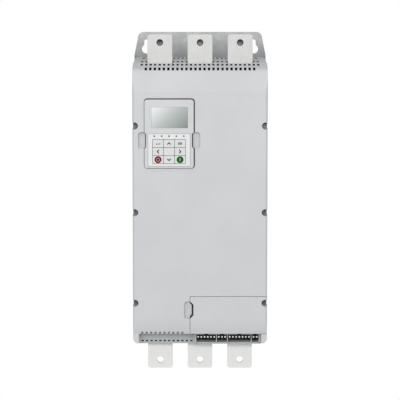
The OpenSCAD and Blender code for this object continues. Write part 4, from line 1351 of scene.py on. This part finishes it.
@dataclass
class Studio:
    """Floor, soft lights, surroundings and the camera of the photograph.

    Args:
        wardrobe: Source of the finishes.
        target: Point that lies in the middle of the picture, in metres.
        distance: Distance of the camera from it.
        elevation: Angle of the camera above the horizon, in degrees.
        focal_px: Focal length in pixels of the picture.
        picture_px: Width of the picture in pixels.
        sensor_mm: Width of the camera's sensor.
        floor_place: Middle of the floor.
        floor_radius: Radius of the floor.
        floor_segments: Segments around the floor.
        surroundings: Brightness that the object sees around it.
    """

    wardrobe: Wardrobe
    target: Triple = (0.0, -0.222, 0.0)
    distance: float = 2.528
    elevation: float = 4.93
    focal_px: float = 1625.0
    picture_px: float = 400.0
    sensor_mm: float = 36.0
    floor_place: Triple = (0.0, -0.1, -0.62)
    floor_radius: float = 1.15
    floor_segments: int = 96
    surroundings: float = 0.48

    def build(self) -> None:
        """Makes the floor, the lights, the surroundings and the camera."""
        self.camera()
        self.floor()
        self.world()
        self.softbox("front_softbox", (-0.2, -2.8, 0.8), (2.4, 0.9), 37.0)
        self.softbox("top_softbox", (0.0, -1.1, 1.8), (1.4, 1.0), 4.0)
        bpy.context.scene.view_settings.view_transform = "Standard"

    def camera(self) -> None:
        """Sets the camera at the photograph's viewing angle."""
        data = bpy.data.cameras.new("photo_camera")
        data.sensor_width = self.sensor_mm
        data.lens = self.sensor_mm * self.focal_px / self.picture_px
        tilt = math.radians(self.elevation)
        away = Vector((0, -math.cos(tilt), math.sin(tilt)))
        camera = bpy.data.objects.new("photo_camera", data)
        camera.location = Vector(self.target) + away * self.distance
        camera.rotation_euler = (-away).to_track_quat("-Z", "Y").to_euler()
        bpy.context.scene.collection.objects.link(camera)
        bpy.context.scene.camera = camera

    def floor(self) -> None:
        """Lays a round pale floor below the object."""
        bm = bmesh.new()
        bmesh.ops.create_circle(
            bm, cap_ends=True, segments=self.floor_segments, radius=self.floor_radius
        )
        bmesh.ops.translate(bm, verts=bm.verts, vec=self.floor_place)
        mesh = bpy.data.meshes.new("floor")
        bm.to_mesh(mesh)
        bm.free()
        mesh.materials.append(self.wardrobe.get(PALE_FLOOR))
        floor = bpy.data.objects.new("floor", mesh)
        bpy.context.scene.collection.objects.link(floor)

    def softbox(self, name: str, place: Triple, sides: Pair, watts: float) -> None:
        """Hangs a softbox that looks at the object.

        Args:
            name: Name of the light.
            place: Its place in metres.
            sides: Its width and height in metres.
            watts: Its power.
        """
        data = bpy.data.lights.new(name, "AREA")
        data.shape = "RECTANGLE"
        data.size, data.size_y = sides
        data.energy = watts
        light = bpy.data.objects.new(name, data)
        light.location = place
        way = Vector(self.target) - Vector(place)
        light.rotation_euler = way.to_track_quat("-Z", "Y").to_euler()
        bpy.context.scene.collection.objects.link(light)

    def world(self) -> None:
        """Makes surroundings that light the object dimly and look white themselves."""
        world = bpy.data.worlds.new("studio")
        bpy.context.scene.world = world
        world.use_nodes = True
        tree = world.node_tree
        tree.nodes.clear()
        seen = add_node(tree, "LightPath").outputs["Is Camera Ray"]
        dim, white = (
            add_node(tree, "Background", {"Color": (1, 1, 1, 1), "Strength": strength})
            for strength in (self.surroundings, 1.0)
        )
        layers = {0: seen, 1: dim.outputs["Background"], 2: white.outputs["Background"]}
        both = add_node(tree, "MixShader", layers)
        add_node(tree, "OutputWorld", {"Surface": both.outputs["Shader"]})


def main() -> None:
    """Dresses the CAD nodes, adds the pieces and sets up the studio."""
    logging.basicConfig(level=logging.INFO, format="%(name)s: %(message)s")
    wardrobe = Wardrobe()
    wardrobe.dress_nodes()
    SoftenedNodes(wardrobe, ROUNDED_MM).build()
    KeypadDress(wardrobe).build()
    PlugClamps(wardrobe).build()
    SmallFasteners(wardrobe).build()
    Studio(wardrobe).build()


if __name__ == "__main__":
    main()
